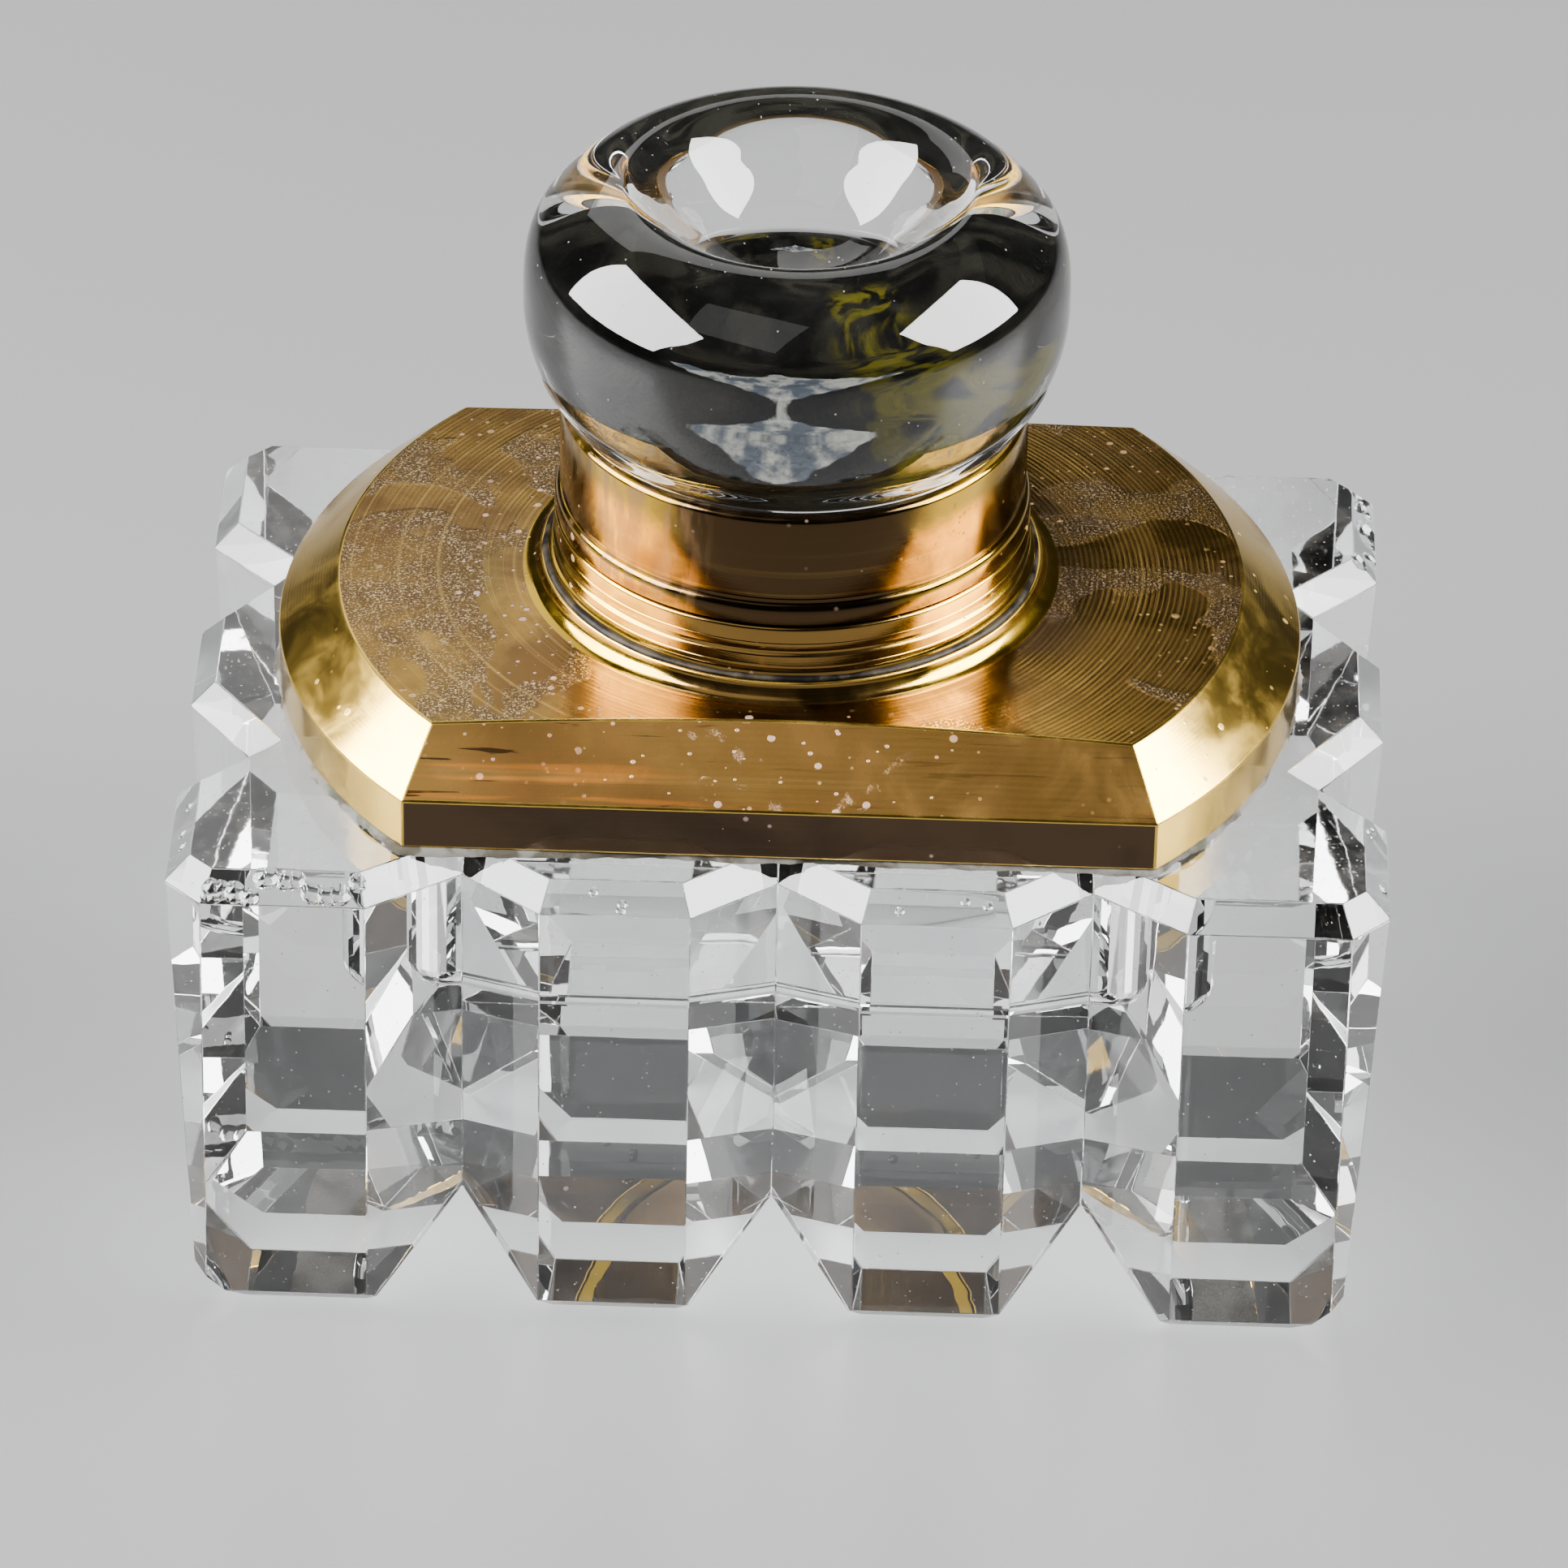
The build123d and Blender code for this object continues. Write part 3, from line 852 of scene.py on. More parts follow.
@dataclass
class Finishes:
    """Every finish used on the inkwell, made once."""

    crystal: Coat = field(default_factory=lambda: Crystal().material())
    crystal_edge: Coat = field(default_factory=lambda: Crystal(
        "crystal_worn_edge", haze=0.22, wave_mm=1.0, wave_depth_mm=0.03).material())
    crystal_top: Coat = field(default_factory=lambda: Crystal(
        "crystal_ground_top", haze=0.07, wave_mm=2.5, wave_depth_mm=0.012, dust=0.6).material())
    crystal_finial: Coat = field(default_factory=lambda: Crystal(
        "crystal_finial", haze=0.0, wave_mm=9.0, wave_depth_mm=0.010, dust=0.05).material())
    # The stub's finish is mostly a painted dark reflection, with a white patch.
    stub_dark_and_cement: Coat = field(default_factory=lambda: StubDarkReflectionAndCement().material())
    plate_top: Coat = field(default_factory=lambda: AgedBrass(
        "brass_cover_top", Cut.TURNED_FACE, gold=(0.40, 0.235, 0.045, 1.0), brown=(0.17, 0.090, 0.022, 1.0),
        age=0.75,
        bloom=0.6, spots=0.8, halo=0.55, polish=0.17, pitch_mm=0.35, depth_mm=0.008).material())
    plate_slope: Coat = field(default_factory=lambda: AgedBrass(
        "brass_cover_slope", Cut.TURNED_SIDE, age=0.3, bloom=0.0, spots=0.1, polish=0.19).material())
    plate_front: Coat = field(default_factory=lambda: AgedBrass(
        "brass_cover_front_slope", Cut.MILLED, gold=(0.50, 0.275, 0.070, 1.0),
        brown=(0.27, 0.125, 0.036, 1.0),
        age=0.7, spots=0.7, streaks=0.85, polish=0.25, depth_mm=0.004).material())
    plate_band: Coat = field(default_factory=lambda: AgedBrass(
        "brass_cover_band", Cut.TURNED_SIDE, age=0.3, spots=0.1, polish=0.17, depth_mm=0.004).material())
    plate_flat: Coat = field(default_factory=lambda: AgedBrass(
        "brass_cover_flat", Cut.MILLED, gold=(0.080, 0.052, 0.031, 1.0), brown=(0.050, 0.033, 0.021, 1.0),
        age=0.7,
        spots=0.05, polish=0.15, depth_mm=0.003, lines=0.03).material())
    plate_edge: Coat = field(default_factory=lambda: AgedBrass(
        "brass_worn_edge", Cut.FILED, age=0.1, spots=0.0, polish=0.22, depth_mm=0.002).material())
    # The neck and the lid ring below are darkened at front and back by a painted dark reflection.
    neck: Coat = field(default_factory=lambda: AgedBrass(
        "brass_neck", Cut.TURNED_SIDE, gold=(0.58, 0.36, 0.022, 1.0), brown=(0.33, 0.185, 0.022, 1.0),
        age=0.45, spots=0.12, painted_dark_reflection=0.85, dark_reflection_colour=(0.19, 0.105, 0.040, 1.0),
        polish=0.14, pitch_mm=0.12, depth_mm=0.004).material())
    ring: Coat = field(default_factory=lambda: AgedBrass(
        "brass_lid_ring", Cut.TURNED_SIDE, gold=(0.34, 0.20, 0.012, 1.0), brown=(0.21, 0.115, 0.014, 1.0),
        age=0.45,
        spots=0.12, painted_dark_reflection=0.96, dark_reflection_colour=(0.050, 0.030, 0.016, 1.0), runs=1.0, polish=0.13,
        pitch_mm=0.12, depth_mm=0.004, lines=0.08).material())
    fitting: Coat = field(default_factory=lambda: AgedBrass(
        "brass_fitting", Cut.FILED, age=0.6, spots=0.2).material())
    disc: Coat = field(default_factory=lambda: AgedBrass(
        "brass_lid_disc", Cut.TURNED_FACE, gold=(0.16, 0.10, 0.045, 1.0), brown=(0.05, 0.032, 0.018, 1.0),
        age=0.8,
        polish=0.35).material())
    plaster: Coat = field(default_factory=lambda: OldPlaster().material())
    lid_plaster: Coat = field(default_factory=lambda: OldPlaster(
        "lid_plaster", stain=(0.010, 0.010, 0.009, 1.0), stained=0.8).material())
    solder: Coat = field(default_factory=lambda: SoftSolder().material())


# --------------------------------------------------------------------------
# Sub-assemblies
# --------------------------------------------------------------------------
@dataclass
class CutCrystalBlock:
    """The crystal block: upright V cuts, cut feet, bevelled rim and oblong well. Millimetres."""

    half_width: float = 38.0
    half_depth: float = BLOCK.back
    height: float = BLOCK.top
    corner_cut: float = 2.4
    rim_bevel: float = 1.6
    foot_bevel: float = 1.1
    valleys: tuple[float, ...] = (-19.6, 0.0, 19.6)
    valley_depth: float = 4.1
    middle_half: float = 5.3
    rib_outer: float = 14.6
    corner_rib: float = 25.4
    end_valleys: tuple[float, ...] = (-10.2, 10.2)
    end_depth: float = 4.3
    end_rib_half: float = 4.3
    end_corner: float = 14.6
    foot_groove: tuple[float, float] = (5.85, 6.9)
    end_lean: float = 1.6
    end_foot: tuple[float, float] = (3.2, 2.8)
    well_half: tuple[float, float] = (27.5, 15.5)
    well_corner: float = 6.0
    well_floor: float = 18.9
    well_fillet: float = 1.6

    def outline(self) -> Profile:
        """The block's plan, anticlockwise from the front middle groove.

        Returns:
            (x, y) points in millimetres.
        """
        w, d = self.half_width, self.half_depth
        quarter = [
            (0.0, -d + self.valley_depth), (self.middle_half, -d), (self.rib_outer, -d),
            (self.valleys[2], -d + self.valley_depth), (self.corner_rib, -d), (w - self.corner_cut, -d),
            (w, -d + self.corner_cut), (w, -self.end_corner), (w - self.end_depth, -self.end_valleys[1]),
            (w, -self.end_rib_half),
        ]
        back_right = [(x, -y) for x, y in reversed(quarter)]
        half = quarter + back_right
        return half + [(-x, y) for x, y in reversed(half[1:-1])]

    def inset(self, outline: Profile, distance: float) -> Profile:
        """Moves every side of an outline inward by the same distance, with mitred corners.

        Args:
            outline: The outline, anticlockwise.
            distance: How far inward.

        Returns:
            The smaller outline.
        """
        moved = []
        count = len(outline)
        for index in range(count):
            before = Vector(outline[index - 1])
            here = Vector(outline[index])
            after = Vector(outline[(index + 1) % count])
            first = (here - before).normalized()
            second = (after - here).normalized()
            normal_1 = Vector((-first.y, first.x))
            normal_2 = Vector((-second.y, second.x))
            mitre = (normal_1 + normal_2).normalized()
            moved.append(tuple(here + mitre * (distance / max(mitre.dot(normal_1), 0.2))))
        return moved

    def blank(self) -> Piece:
        """The block before the cuts under it, with its bevelled rim.

        Returns:
            The blank.
        """
        outer = self.outline()
        inner = self.inset(outer, self.rim_bevel)
        bm = bmesh.new()
        levels = ((outer, 0.0), (outer, self.height - self.rim_bevel), (inner, self.height))
        rings = [[bm.verts.new((x * MM, y * MM, z * MM)) for x, y in ring] for ring, z in levels]
        bm.faces.new(list(reversed(rings[0])))
        bm.faces.new(rings[-1])
        for low, high in zip(rings, rings[1:]):
            for index in range(len(low)):
                nxt = (index + 1) % len(low)
                bm.faces.new((low[index], low[nxt], high[nxt], high[index]))
        return MeshBench.as_object(bm, "crystal_block")

    def under_cuts(self) -> list[bmesh.types.BMesh]:
        """The wheel cuts across the underside and the bevels round the feet.

        Returns:
            The shapes to take away.
        """
        across = Matrix(((1, 0, 0, 0), (0, 0, 1, 0), (0, 1, 0, 0), (0, 0, 0, 1)))
        along = Matrix(((0, 0, 1, 0), (1, 0, 0, 0), (0, 1, 0, 0), (0, 0, 0, 1)))
        half, deep = self.foot_groove
        shapes = []
        for place, valleys, reach in ((across, self.valleys, self.half_depth),
                (along, self.end_valleys, self.half_width)):
            for v in valleys:
                wedge = [(v - half * 1.2, -deep * 0.2), (v + half * 1.2, -deep * 0.2), (v, deep)]
                shapes.append(MeshBench.prism([(a * MM, b * MM) for a, b in wedge], place,
                                              -(reach + 5) * MM, (reach + 5) * MM))
        inset_x, inset_z = self.end_foot
        lean = self.end_lean
        for side in (-1.0, 1.0):
            end = [(self.half_width, self.height + 0.001), (self.half_width - lean, inset_z),
                   (self.half_width - lean - inset_x, 0.0),
                   (self.half_width - lean - inset_x * 1.2, -inset_z * 0.2),
                   (self.half_width + 6, -inset_z * 0.2), (self.half_width + 6, self.height + 0.001)]
            shapes.append(MeshBench.prism([(side * a * MM, b * MM) for a, b in end], across, -0.04, 0.04))
            bevel = self.foot_bevel
            edge = [(self.half_depth - bevel * 1.5, -bevel * 0.5), (self.half_depth + 1, bevel + 1),
                    (self.half_depth + 1, -bevel * 0.5)]
            shapes.append(MeshBench.prism([(side * a * MM, b * MM) for a, b in edge], along, -0.05, 0.05))
        return shapes

    def well_cut(self) -> bmesh.types.BMesh:
        """The well: an oblong with round corners and a round foot.

        Returns:
            The shape to take away.
        """
        bm = bmesh.new()
        half_x, half_y = self.well_half
        steps = 12
        levels = []
        for step in range(7):
            angle = math.pi / 2 * step / 6
            levels.append((self.well_fillet * (1 - math.sin(angle)),
                self.well_floor + self.well_fillet * (1 - math.cos(angle))))
        levels.append((0.0, self.height + 1.0))
        rings = []
        for inward, z in levels:
            ring = []
            radius = self.well_corner - inward
            for quarter, (sx, sy) in enumerate(((1, 1), (-1, 1), (-1, -1), (1, -1))):
                for step in range(steps + 1):
                    angle = math.pi / 2 * (quarter + step / steps)
                    ring.append(bm.verts.new((
                        (sx * (half_x - self.well_corner) + radius * math.cos(angle)) * MM,
                        (sy * (half_y - self.well_corner) + radius * math.sin(angle)) * MM, z * MM)))
            rings.append(ring)
        bm.faces.new(list(reversed(rings[0])))
        bm.faces.new(rings[-1])
        for low, high in zip(rings, rings[1:]):
            for index in range(len(low)):
                nxt = (index + 1) % len(low)
                bm.faces.new((low[index], low[nxt], high[nxt], high[index]))
        return bm

    def rim_places(self, rng: random.Random) -> list[tuple[Vector, Vector, float]]:
        """Where the rim is knocked: two worn stretches, and a few single nicks.

        Args:
            rng: The seeded source of chance.

        Returns:
            A point on the rim bevel, the way it faces, and the size of the chip, for each chip.
        """
        places: list[tuple[Vector, Vector, float]] = []

        def knock(along: float, side: str, sign: float, size: float) -> None:
            """Adds one chip somewhere across the bevel's width."""
            drop = rng.uniform(0.15, 0.85) * self.rim_bevel
            edge = (self.half_depth if side == "long" else self.half_width) - self.rim_bevel + drop
            out = Vector((0.0, sign, 1.0)) if side == "long" else Vector((sign, 0.0, 1.0))
            spot = (along, sign * edge) if side == "long" else (sign * edge, along)
            places.append((Vector((*spot, self.height - drop)), out.normalized(), size))

        run = self.half_width - self.corner_cut - self.corner_rib
        for step in range(11):
            knock(-self.corner_rib - run * (step + rng.uniform(0.2, 0.8)) / 11, "long", -1.0,
                rng.uniform(0.9, 1.3))
        for step in range(8):
            knock(self.corner_rib + run * (step + rng.uniform(0.2, 0.8)) / 8, "long", 1.0,
                rng.uniform(1.2, 1.7))
        depth = self.half_depth - self.corner_cut - self.end_corner
        for step in range(6):
            knock(self.end_corner + depth * (step + rng.uniform(0.2, 0.8)) / 6, "short", 1.0,
                rng.uniform(1.1, 1.5))
        for sign in (-1.0, 1.0):
            for _ in range(3):
                knock(sign * rng.uniform(self.middle_half + 1, self.rib_outer - 1), "long", -1.0, 0.45)
                knock(-rng.uniform(self.end_corner + 1, self.half_depth - 4), "short", sign, 0.55)
        return places

    def chips(self, finishes: Finishes) -> Piece:
        """Shallow shell-shaped chips knocked out of the rim.

        Args:
            finishes: The finishes.

        Returns:
            The cutter that holds every chip.
        """
        rng = random.Random(41)
        shapes = bmesh.new()
        for index, (spot, out, size) in enumerate(self.rim_places(rng)):
            bite = size * rng.uniform(0.22, 0.34)
            middle = Matrix.Translation((spot + out * (size - bite)) * MM)
            made = bmesh.ops.create_icosphere(shapes, subdivisions=3, radius=size * MM)
            for vert in made["verts"]:
                uneven = 1.0 + 0.10 * noise.noise(vert.co * 700.0 + Vector((index * 7.0, 0.0, 0.0)))
                vert.co = middle @ (vert.co * uneven)
        cutter = MeshBench.as_object(shapes, "chips")
        cutter.data.materials.append(finishes.crystal)
        cutter.data.materials.append(finishes.crystal_edge)
        for polygon in cutter.data.polygons:
            polygon.material_index = 1
        return cutter

    def build(self, finishes: Finishes) -> list[Piece]:
        """Cuts, eases and dresses the block, then chips its rim.

        Args:
            finishes: The finishes.

        Returns:
            The block.
        """
        block = MeshBench.cut(self.blank(), [*self.under_cuts(), self.well_cut()])
        for material in (finishes.crystal, finishes.crystal_edge, finishes.crystal_top):
            block.data.materials.append(material)
        for polygon in block.data.polygons:
            top = polygon.normal.z > 0.99 and polygon.center.z > (self.height - 0.1) * MM
            polygon.material_index = 2 if top else 0
        MeshBench.ease_edges(block, 0.16 * MM, 24.0, segments=2, worn_slot=1)
        MeshBench.settle(block)
        scoops = self.chips(finishes)
        modifier = block.modifiers.new("chipped", "BOOLEAN")
        modifier.operation = "DIFFERENCE"
        modifier.solver = "EXACT"
        modifier.use_self = True
        modifier.object = scoops
        MeshBench.settle(block)
        scoop_mesh = scoops.data
        bpy.data.objects.remove(scoops)
        bpy.data.meshes.remove(scoop_mesh)
        MeshBench.crisp(block, 26.0, 1.2e-6)
        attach(block, "inkwell_base")
        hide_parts("glass_block")
        return [block]


@dataclass
class BrassCover:
    """The cover plate on its plaster bed, with the boss that carries the neck. Millimetres."""

    base: float = COVER.foot
    bed: float = COVER.foot - BED.foot
    radius: float = COVER.right
    half_depth: float = COVER.back
    band: float = 3.4
    slope: float = 3.4
    slope_inset: float = 3.75
    rise: float = 0.6
    boss_foot: float = 17.0
    boss: tuple[float, float] = (15.9, COVER.top)
    bore: float = 13.7

    def blank_profile(self) -> Profile:
        """The turned blank's section.

        Returns:
            (radius, height) points in metres, closed.
        """
        top = self.base + self.band + self.slope
        points = [(self.bore, self.boss[1]), (self.bore, self.base), (self.radius, self.base),
                  (self.radius, self.base + self.band), (self.radius - self.slope_inset, top),
                  (self.boss_foot + 4.0, top + self.rise * 0.68), (self.boss_foot, top + self.rise)]
        reach = self.boss_foot - self.boss[0]
        climb = self.boss[1] - (top + self.rise)
        for step in range(1, 9):
            angle = math.pi / 2 * step / 8
            points.append((self.boss_foot - reach * math.sin(angle),
                top + self.rise + climb * (1 - math.cos(angle))))
        points.append(points[0])
        return [(r * MM, z * MM) for r, z in points]

    def flats(self) -> list[bmesh.types.BMesh]:
        """The flats at front and back, each with its sloping edge.

        Returns:
            The shapes to take away.
        """
        along = Matrix(((0, 0, 1, 0), (1, 0, 0, 0), (0, 1, 0, 0), (0, 0, 0, 1)))
        band_top = self.base + self.band
        shapes = []
        for side in (-1.0, 1.0):
            section = [(self.half_depth, self.base - 1), (self.half_depth, band_top),
                       (self.half_depth - 1.6 * self.slope_inset, band_top + 1.6 * self.slope),
                       (self.radius + 2, band_top + 1.6 * self.slope), (self.radius + 2, self.base - 1)]
            shapes.append(MeshBench.prism([(side * a * MM, b * MM) for a, b in section], along, -0.04, 0.04))
        return shapes

    def plate(self, finishes: Finishes) -> Piece:
        """Turns, cuts and dresses the plate.

        Args:
            finishes: The finishes.

        Returns:
            The plate.
        """
        plate = MeshBench.cut(MeshBench.as_object(MeshBench.turn(self.blank_profile(), ROUND_STEPS), "cover"),
            self.flats())
        for material in (finishes.plate_top, finishes.plate_slope, finishes.plate_front, finishes.plate_band,
                         finishes.plate_flat, finishes.plate_edge, finishes.neck):
            plate.data.materials.append(material)
        for polygon in plate.data.polygons:
            up, square = polygon.normal.z, abs(polygon.normal.x) < 1e-4
            if polygon.center.xy.length < (self.boss_foot + 0.05) * MM:
                polygon.material_index = 6
            elif up > 0.9:
                polygon.material_index = 0
            elif up > 0.3:
                polygon.material_index = 2 if square else 1
            else:
                polygon.material_index = 4 if square else 3
        MeshBench.ease_edges(plate, 0.17 * MM, 20.0, segments=3, worn_slot=5)
        MeshBench.settle(plate)
        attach(plate, "inkwell_base")
        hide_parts("cover_plate")
        return plate

    def crust(self, finishes: Finishes) -> Piece:
        """The plaster bed, with the ragged crust that squeezed out round its edge.

        Args:
            finishes: The finishes.

        Returns:
            The bed.
        """
        bm = bmesh.new()
        rng = random.Random(7)
        corner = math.asin(self.half_depth / self.radius)
        path: list[tuple[float, float]] = []
        for side in (0.0, math.pi):
            for step in range(180):
                angle = side - corner + 2 * corner * step / 180
                path.append((self.radius * math.cos(angle), self.radius * math.sin(angle)))
            start = (self.radius * math.cos(side + corner), self.radius * math.sin(side + corner))
            stop = (-start[0], start[1])
            for step in range(150):
                share = step / 150
                path.append((start[0] + (stop[0] - start[0]) * share, start[1]))
        rings = []
        low = (self.base - self.bed + 0.01) * MM
        high = self.base * MM
        for x, y in path:
            ragged = 0.62 * noise.noise(Vector((x * 0.16, y * 0.16, 3.0)))
            ragged += (0.26 * noise.noise(Vector((x * 0.8, y * 0.8, 5.0)))
                       + 0.12 * noise.noise(Vector((x * 3.0, y * 3.0, 8.0))))
            out = 1.0 + (ragged - 0.02 + rng.uniform(-0.03, 0.03)) / self.radius
            well = 0.84
            rings.append([
                bm.verts.new((x * well * MM, y * well * MM, low)),
                bm.verts.new((x * (out + 0.004) * MM, y * (out + 0.004) * MM, low)),
                bm.verts.new((x * out * MM, y * out * MM, low + 0.25 * MM)),
                bm.verts.new((x * (out - 0.010) * MM, y * (out - 0.010) * MM, high)),
                bm.verts.new((x * well * MM, y * well * MM, high)),
            ])
        for index, ring in enumerate(rings):
            nxt = rings[(index + 1) % len(rings)]
            for side in range(5):
                bm.faces.new((ring[side], ring[(side + 1) % 5], nxt[(side + 1) % 5], nxt[side]))
        bed = MeshBench.as_object(bm, "plaster_crust", 60.0)
        bed.data.materials.append(finishes.plaster)
        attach(bed, "inkwell_base")
        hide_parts("cement_bed")
        return bed

    def build(self, finishes: Finishes) -> list[Piece]:
        """Builds the plate and its bed and returns them."""
        return [self.plate(finishes), self.crust(finishes)]


@dataclass
class TurnedNeck:
    """The fixed collar and the solder at its foot. Millimetres."""

    bore: float = 12.8
    spigot: float = 13.6
    foot: float = 15.4
    body: float = 15.05
    low: float = COLLAR.foot
    shoulder: float = COVER.top
    top: float = COLLAR.top

    def section(self) -> Profile:
        """The collar's section, with its turned grooves and rounded lip.

        Returns:
            (radius, height) points in metres, closed.
        """
        s, t = self.shoulder, self.top
        points = [
            (self.bore, self.low), (self.spigot, self.low), (self.spigot, s), (self.foot, s),
            (self.foot, s + 0.42),
            (self.foot - 0.05, s + 0.52), (self.foot - 0.16, s + 0.58), (self.body + 0.10, s + 0.60),
            (self.body + 0.09, s + 0.74), (self.body + 0.05, s + 0.78), (self.body + 0.09, s + 0.82),
            (self.body + 0.10, s + 1.42), (self.body + 0.04, s + 1.52), (self.body - 0.09, s + 1.60),
            (self.body - 0.10, s + 1.74), (self.body - 0.03, s + 1.84), (self.body, s + 1.92),
            (self.body, s + 2.30), (self.body - 0.03, s + 2.34), (self.body, s + 2.38), (self.body, t - 0.26),
        ]
        for step in range(1, 7):
            angle = math.pi / 2 * step / 6
            points.append((self.body - 0.24 * (1 - math.cos(angle)), t - 0.24 * (1 - math.sin(angle))))
        points += [(self.bore + 0.3, t), (self.bore + 0.1, t - 0.1), (self.bore, t - 0.3),
            (self.bore, self.low)]
        return [(r * MM, z * MM) for r, z in points]

    def build(self, finishes: Finishes) -> list[Piece]:
        """Turns and dresses the collar and the bead of solder.

        Args:
            finishes: The finishes.

        Returns:
            The collar and the solder.
        """
        collar = MeshBench.as_object(MeshBench.turn(self.section(), ROUND_STEPS), "neck_collar_turned", 28.0)
        collar.data.materials.append(finishes.neck)
        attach(collar, "inkwell_base")
        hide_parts("neck_collar")

        def lumps(angle: float, radius: float, height: float) -> tuple[float, float]:
            """Uneven solder, more in some places than others."""
            swell = noise.noise(Vector((math.cos(angle) * 2.4, math.sin(angle) * 2.4, 5.0)))
            swell += 0.5 * noise.noise(Vector((math.cos(angle) * 9.0, math.sin(angle) * 9.0, 1.0)))
            grow = max(0.0, (radius / MM - self.foot - 0.04)) * 0.5 * swell
            rise = max(0.0, (height / MM - self.shoulder - 0.04)) * 0.5 * swell
            return radius + grow * MM, height + rise * MM

        corner = (self.foot + 0.02, self.shoulder + 0.02)
        bead = [corner]
        for step in range(9):
            angle = math.pi / 2 * step / 8
            bead.append((corner[0] + 0.30 * math.cos(angle), corner[1] + 0.24 * math.sin(angle)))
        bead.append(corner)
        seam = MeshBench.as_object(MeshBench.turn([(r * MM, z * MM) for r, z in bead], ROUND_STEPS, lumps),
            "solder_bead", 50.0)
        seam.data.materials.append(finishes.solder)
        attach(seam, "inkwell_base")
        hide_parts("solder_seam")
        return [collar, seam]


@dataclass
class HingedLid:
    """The lid's brass ring, its plaster, and the crystal finial. Millimetres."""

    base: float = RING.foot
    flange: float = 15.0
    flange_top: float = 45.75
    ring: float = 14.70
    top: float = RING.top
    socket: float = 13.4
    ledge: tuple[float, float] = (12.6, 46.2)
    stub: tuple[float, float] = (12.65, FINIAL.foot)
    seat: tuple[float, float] = (14.1, 52.62)
    widest: tuple[float, float] = (17.06, 59.9)
    crest: tuple[float, float] = (11.0, FINIAL.top)
    floor: float = 61.7

    def ring_section(self) -> Profile:
        """The lid ring's section: flange, rounded shoulder, groove, wall and rounded top.

        Returns:
            (radius, height) points in metres, closed.
        """
        f, r, b = self.flange, self.ring, self.base
        points = [(self.ledge[0], self.ledge[1]), (self.ledge[0], b + 0.2), (self.ledge[0] + 0.2, b),
                  (f - 0.15, b), (f - 0.04, b + 0.05), (f, b + 0.15), (f, self.flange_top)]
        for step in range(1, 9):
            angle = math.pi / 2 * step / 8
            points.append((f - (f - r + 0.08) * (1 - math.cos(angle)),
                self.flange_top + 0.62 * math.sin(angle)))
        points += [(r - 0.10, self.flange_top + 0.72), (r - 0.09, self.flange_top + 0.84),
                   (r - 0.03, self.flange_top + 0.92), (r, self.flange_top + 1.0), (r, self.top - 0.45)]
        for step in range(1, 9):
            angle = math.pi / 2 * step / 8
            points.append((r - 0.45 * (1 - math.cos(angle)), self.top - 0.45 * (1 - math.sin(angle))))
        points += [(self.socket + 0.1, self.top), (self.socket, self.top - 0.1), (self.socket, self.ledge[1]),
                   (self.ledge[0], self.ledge[1])]
        return [(a * MM, z * MM) for a, z in points]

    @staticmethod
    def through(points: Sequence[tuple[float, float]], start: tuple[float, float], end: tuple[float, float],
                steps: int) -> Profile:
        """A smooth curve through points, with its end directions given.

        Args:
            points: The points.
            start: Direction at the first point.
            end: Direction at the last point.
            steps: Pieces in each span.

        Returns:
            The curve's points, both ends included.
        """
        knots = [Vector(p) for p in points]
        slopes = []
        for index, here in enumerate(knots):
            if index == 0:
                slopes.append(Vector(start).normalized() * (knots[1] - here).length)
            elif index == len(knots) - 1:
                slopes.append(Vector(end).normalized() * (here - knots[-2]).length)
            else:
                slopes.append((knots[index + 1] - knots[index - 1]) * 0.5)
        curve = []
        for index in range(len(knots) - 1):
            reach = (knots[index + 1] - knots[index]).length
            first = slopes[index].normalized() * reach
            second = slopes[index + 1].normalized() * reach
            for step in range(steps):
                t = step / steps
                point = ((2 * t ** 3 - 3 * t ** 2 + 1) * knots[index] + (t ** 3 - 2 * t ** 2 + t) * first
                         + (3 * t ** 2 - 2 * t ** 3) * knots[index + 1] + (t ** 3 - t ** 2) * second)
                curve.append((point.x, point.y))
        curve.append(tuple(knots[-1]))
        return curve

    def finial_section(self) -> Profile:
        """The finial's section, from the middle of the stub's foot to the middle of the dish.

        Returns:
            (radius, height) points in metres.
        """
        seat_r, seat_z = self.seat
        points: Profile = [(0.0, self.stub[1]), (6.0, self.stub[1]), (self.stub[0] - 0.6, self.stub[1]),
                           (self.stub[0], self.stub[1] + 0.6), (self.stub[0], seat_z)]
        points += self.through([(seat_r, seat_z), (15.05, seat_z + 1.0), (16.44, 56.2), self.widest],
            (1, 0.25), (0, 1), 12)
        points += self.through([self.widest, (16.12, 64.8), self.crest], (0, 1), (-1, 0), 18)[1:]
        points += self.through([self.crest, (9.4, 67.2), (7.6, 65.5), (5.4, 63.3), (3.0, 62.05),
            (0.0, self.floor)],
                               (-1, 0), (-1, 0), 10)[1:]
        return [(r * MM, z * MM) for r, z in points]

    def build(self, finishes: Finishes) -> list[Piece]:
        """Turns and dresses the lid.

        Args:
            finishes: The finishes.

        Returns:
            The ring and the finial.
        """
        ring = MeshBench.as_object(MeshBench.turn(self.ring_section(), ROUND_STEPS), "lid_ring_turned", 28.0)
        ring.data.materials.append(finishes.ring)
        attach(ring, "lid")
        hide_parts("lid_ring")

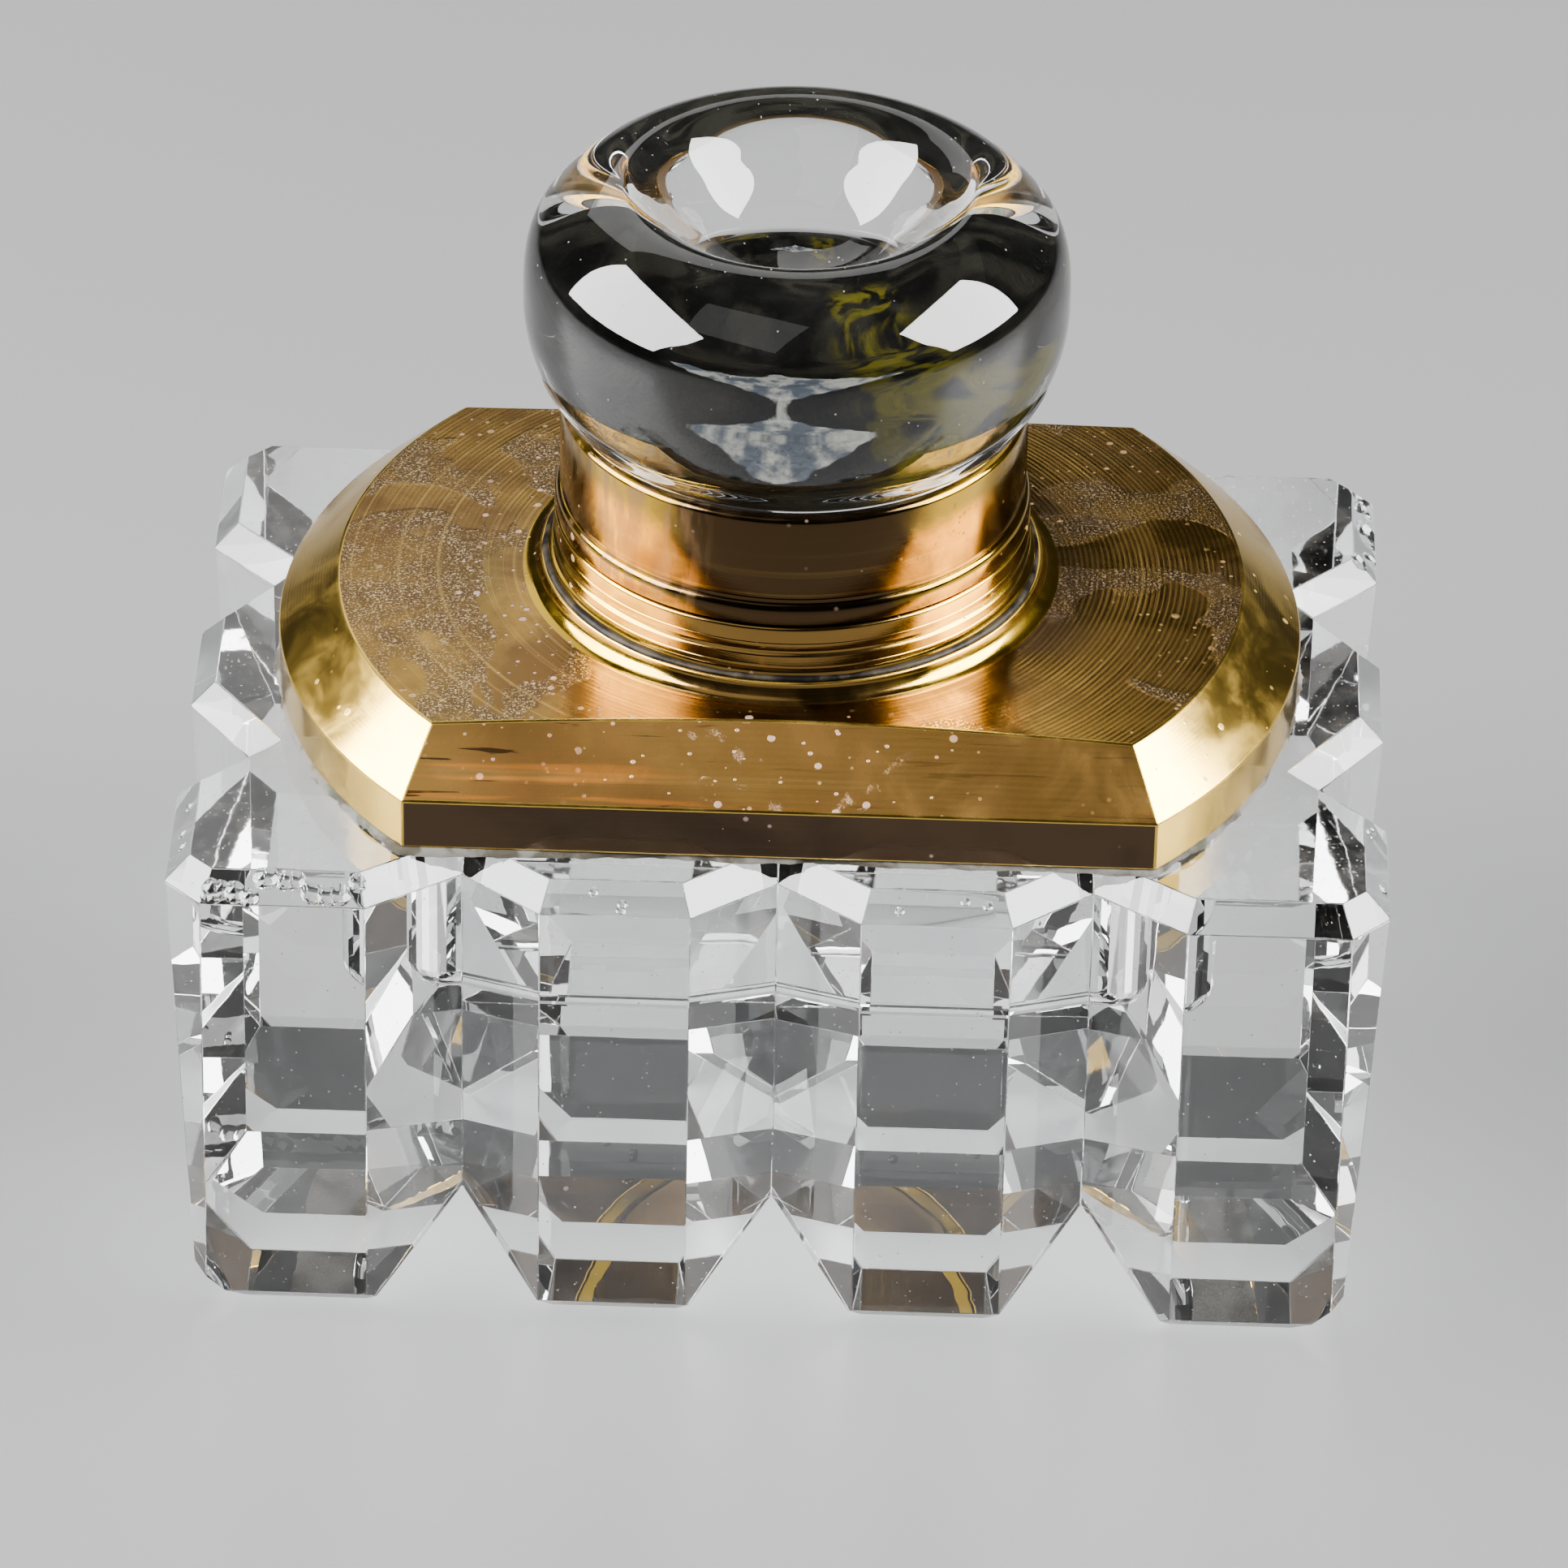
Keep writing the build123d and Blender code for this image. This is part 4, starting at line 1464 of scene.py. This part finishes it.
        finial = MeshBench.as_object(MeshBench.turn(self.finial_section(), 256), "crystal_finial", 30.0)
        finial.data.materials.append(finishes.crystal_finial)
        finial.data.materials.append(finishes.stub_dark_and_cement)
        for polygon in finial.data.polygons:
            polygon.material_index = 1 if polygon.center.z < (self.seat[1] - 0.02) * MM else 0
        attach(finial, "lid")
        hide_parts("glass_finial")
        return [ring, finial]


@dataclass
class CarriedNodes:
    """CAD pieces whose shape is already right, which only take a finish."""

    brass: tuple[str, ...] = ("collar_hinge_leaf", "lid_hinge_leaf", "hinge_pin")
    disc: tuple[str, ...] = ("lid_disc",)
    plaster: tuple[str, ...] = ("lid_cement",)

    def build(self, finishes: Finishes) -> list[Piece]:
        """Dresses the CAD pieces.

        Args:
            finishes: The finishes.

        Returns:
            The pieces.
        """
        dressed = []
        for names, material in ((self.brass, finishes.fitting), (self.disc, finishes.disc),
                                (self.plaster, finishes.lid_plaster)):
            for name in names:
                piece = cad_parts[name]
                piece.data.materials.clear()
                piece.data.materials.append(material)
                dressed.append(piece)
        return dressed


# --------------------------------------------------------------------------
# Studio
# --------------------------------------------------------------------------
@dataclass
class Studio:
    """A pale floor, soft boxes and the camera. Millimetres and degrees."""

    camera_turn: float = 1.06
    camera_height: float = 33.5
    camera_roll: float = 1.2
    camera_distance: float = 616.3
    aim: tuple[float, float, float] = (-0.16, 0.0, 23.3)
    lens: float = 219.73

    def floor(self) -> Piece:
        """The pale floor.

        Returns:
            The floor.
        """
        bm = bmesh.new()
        bmesh.ops.create_circle(bm, cap_ends=True, segments=96, radius=2.5,
                                matrix=Matrix.Translation((0.0, 0.0, -0.02 * MM)))
        floor = MeshBench.as_object(bm, "floor")
        board = NodeBoard("pale_floor")
        where = board.place()
        tone = board.cloud(where, 120.0, detail=2.0)
        colour = board.blend(tone, (0.125, 0.125, 0.128, 1.0), (0.135, 0.135, 0.135, 1.0))
        shader = board.add("BsdfPrincipled", Base_Color=colour, Roughness=0.35)
        floor.data.materials.append(board.finish(shader.outputs[0]))
        return floor

    def lamp(self, name: str, turn: float, height: float, distance: float, size: tuple[float, float],
             power: float, tint: tuple[float, float, float] = (1.0, 1.0, 1.0)) -> Piece:
        """A soft box aimed at the inkwell.

        Args:
            name: Its name.
            turn: Degrees round from the front, positive to the right.
            height: Degrees above the horizon.
            distance: Distance in metres.
            size: Width and height in metres.
            power: Power in watts.
            tint: Colour.

        Returns:
            The lamp.
        """
        data = bpy.data.lights.new(name, "AREA")
        data.shape = "RECTANGLE"
        data.size, data.size_y = size
        data.energy = power
        data.color = tint
        lamp = bpy.data.objects.new(name, data)
        t, h = math.radians(turn), math.radians(height)
        spot = Vector((math.sin(t) * math.cos(h), -math.cos(t) * math.cos(h), math.sin(h))) * distance
        lamp.location = spot + Vector((0.0, 0.0, 0.03))
        lamp.rotation_euler = (-spot).to_track_quat("-Z", "Y").to_euler()
        bpy.context.scene.collection.objects.link(lamp)
        return lamp

    def camera(self) -> Piece:
        """The camera.

        Returns:
            The camera, set as the scene's.
        """
        data = bpy.data.cameras.new("camera")
        data.lens = self.lens
        data.sensor_width = 36.0
        data.clip_start = 0.01
        camera = bpy.data.objects.new("camera", data)
        turn, height, roll = (math.radians(v) for v in (self.camera_turn, self.camera_height,
            self.camera_roll))
        back = Vector((math.sin(turn) * math.cos(height), -math.cos(turn) * math.cos(height),
            math.sin(height)))
        right = Vector((math.cos(turn), math.sin(turn), 0.0))
        up = back.cross(right)
        right_rolled = right * math.cos(roll) + up * math.sin(roll)
        up_rolled = up * math.cos(roll) - right * math.sin(roll)
        spot = (Vector(self.aim) + back * self.camera_distance) * MM
        camera.matrix_world = Matrix((
            (right_rolled.x, up_rolled.x, back.x, spot.x),
            (right_rolled.y, up_rolled.y, back.y, spot.y),
            (right_rolled.z, up_rolled.z, back.z, spot.z),
            (0.0, 0.0, 0.0, 1.0)))
        bpy.context.scene.collection.objects.link(camera)
        bpy.context.scene.camera = camera
        return camera

    def build(self) -> None:
        """Sets up the floor, the lamps, the surroundings and the camera."""
        self.floor()
        self.lamp("left_box", -82.0, 33.0, 0.60, (0.56, 0.44), 28.0)
        self.lamp("right_box", 85.0, 33.0, 0.60, (0.42, 0.44), 23.0)
        self.lamp("back_box", 197.5, 40.0, 0.90, (0.58, 0.36), 1.15)
        self.lamp("front_card", -33.0, 62.0, 0.60, (0.34, 0.24), 0.21)
        world = bpy.data.worlds.new("surroundings")
        world.use_nodes = True
        world.node_tree.nodes["Background"].inputs[0].default_value = (0.95, 0.97, 1.0, 1.0)
        world.node_tree.nodes["Background"].inputs[1].default_value = 0.04
        bpy.context.scene.world = world
        self.camera()


def main() -> None:
    """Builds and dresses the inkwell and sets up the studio."""
    logging.basicConfig(level=logging.INFO, format="%(name)s: %(message)s")
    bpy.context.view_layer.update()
    finishes = Finishes()
    for assembly in (CutCrystalBlock(), BrassCover(), TurnedNeck(), HingedLid(), CarriedNodes()):
        for piece in assembly.build(finishes):
            LOG.info("%s: %s", type(assembly).__name__, piece.name)
    Studio().build()


if __name__ == "__main__":
    main()
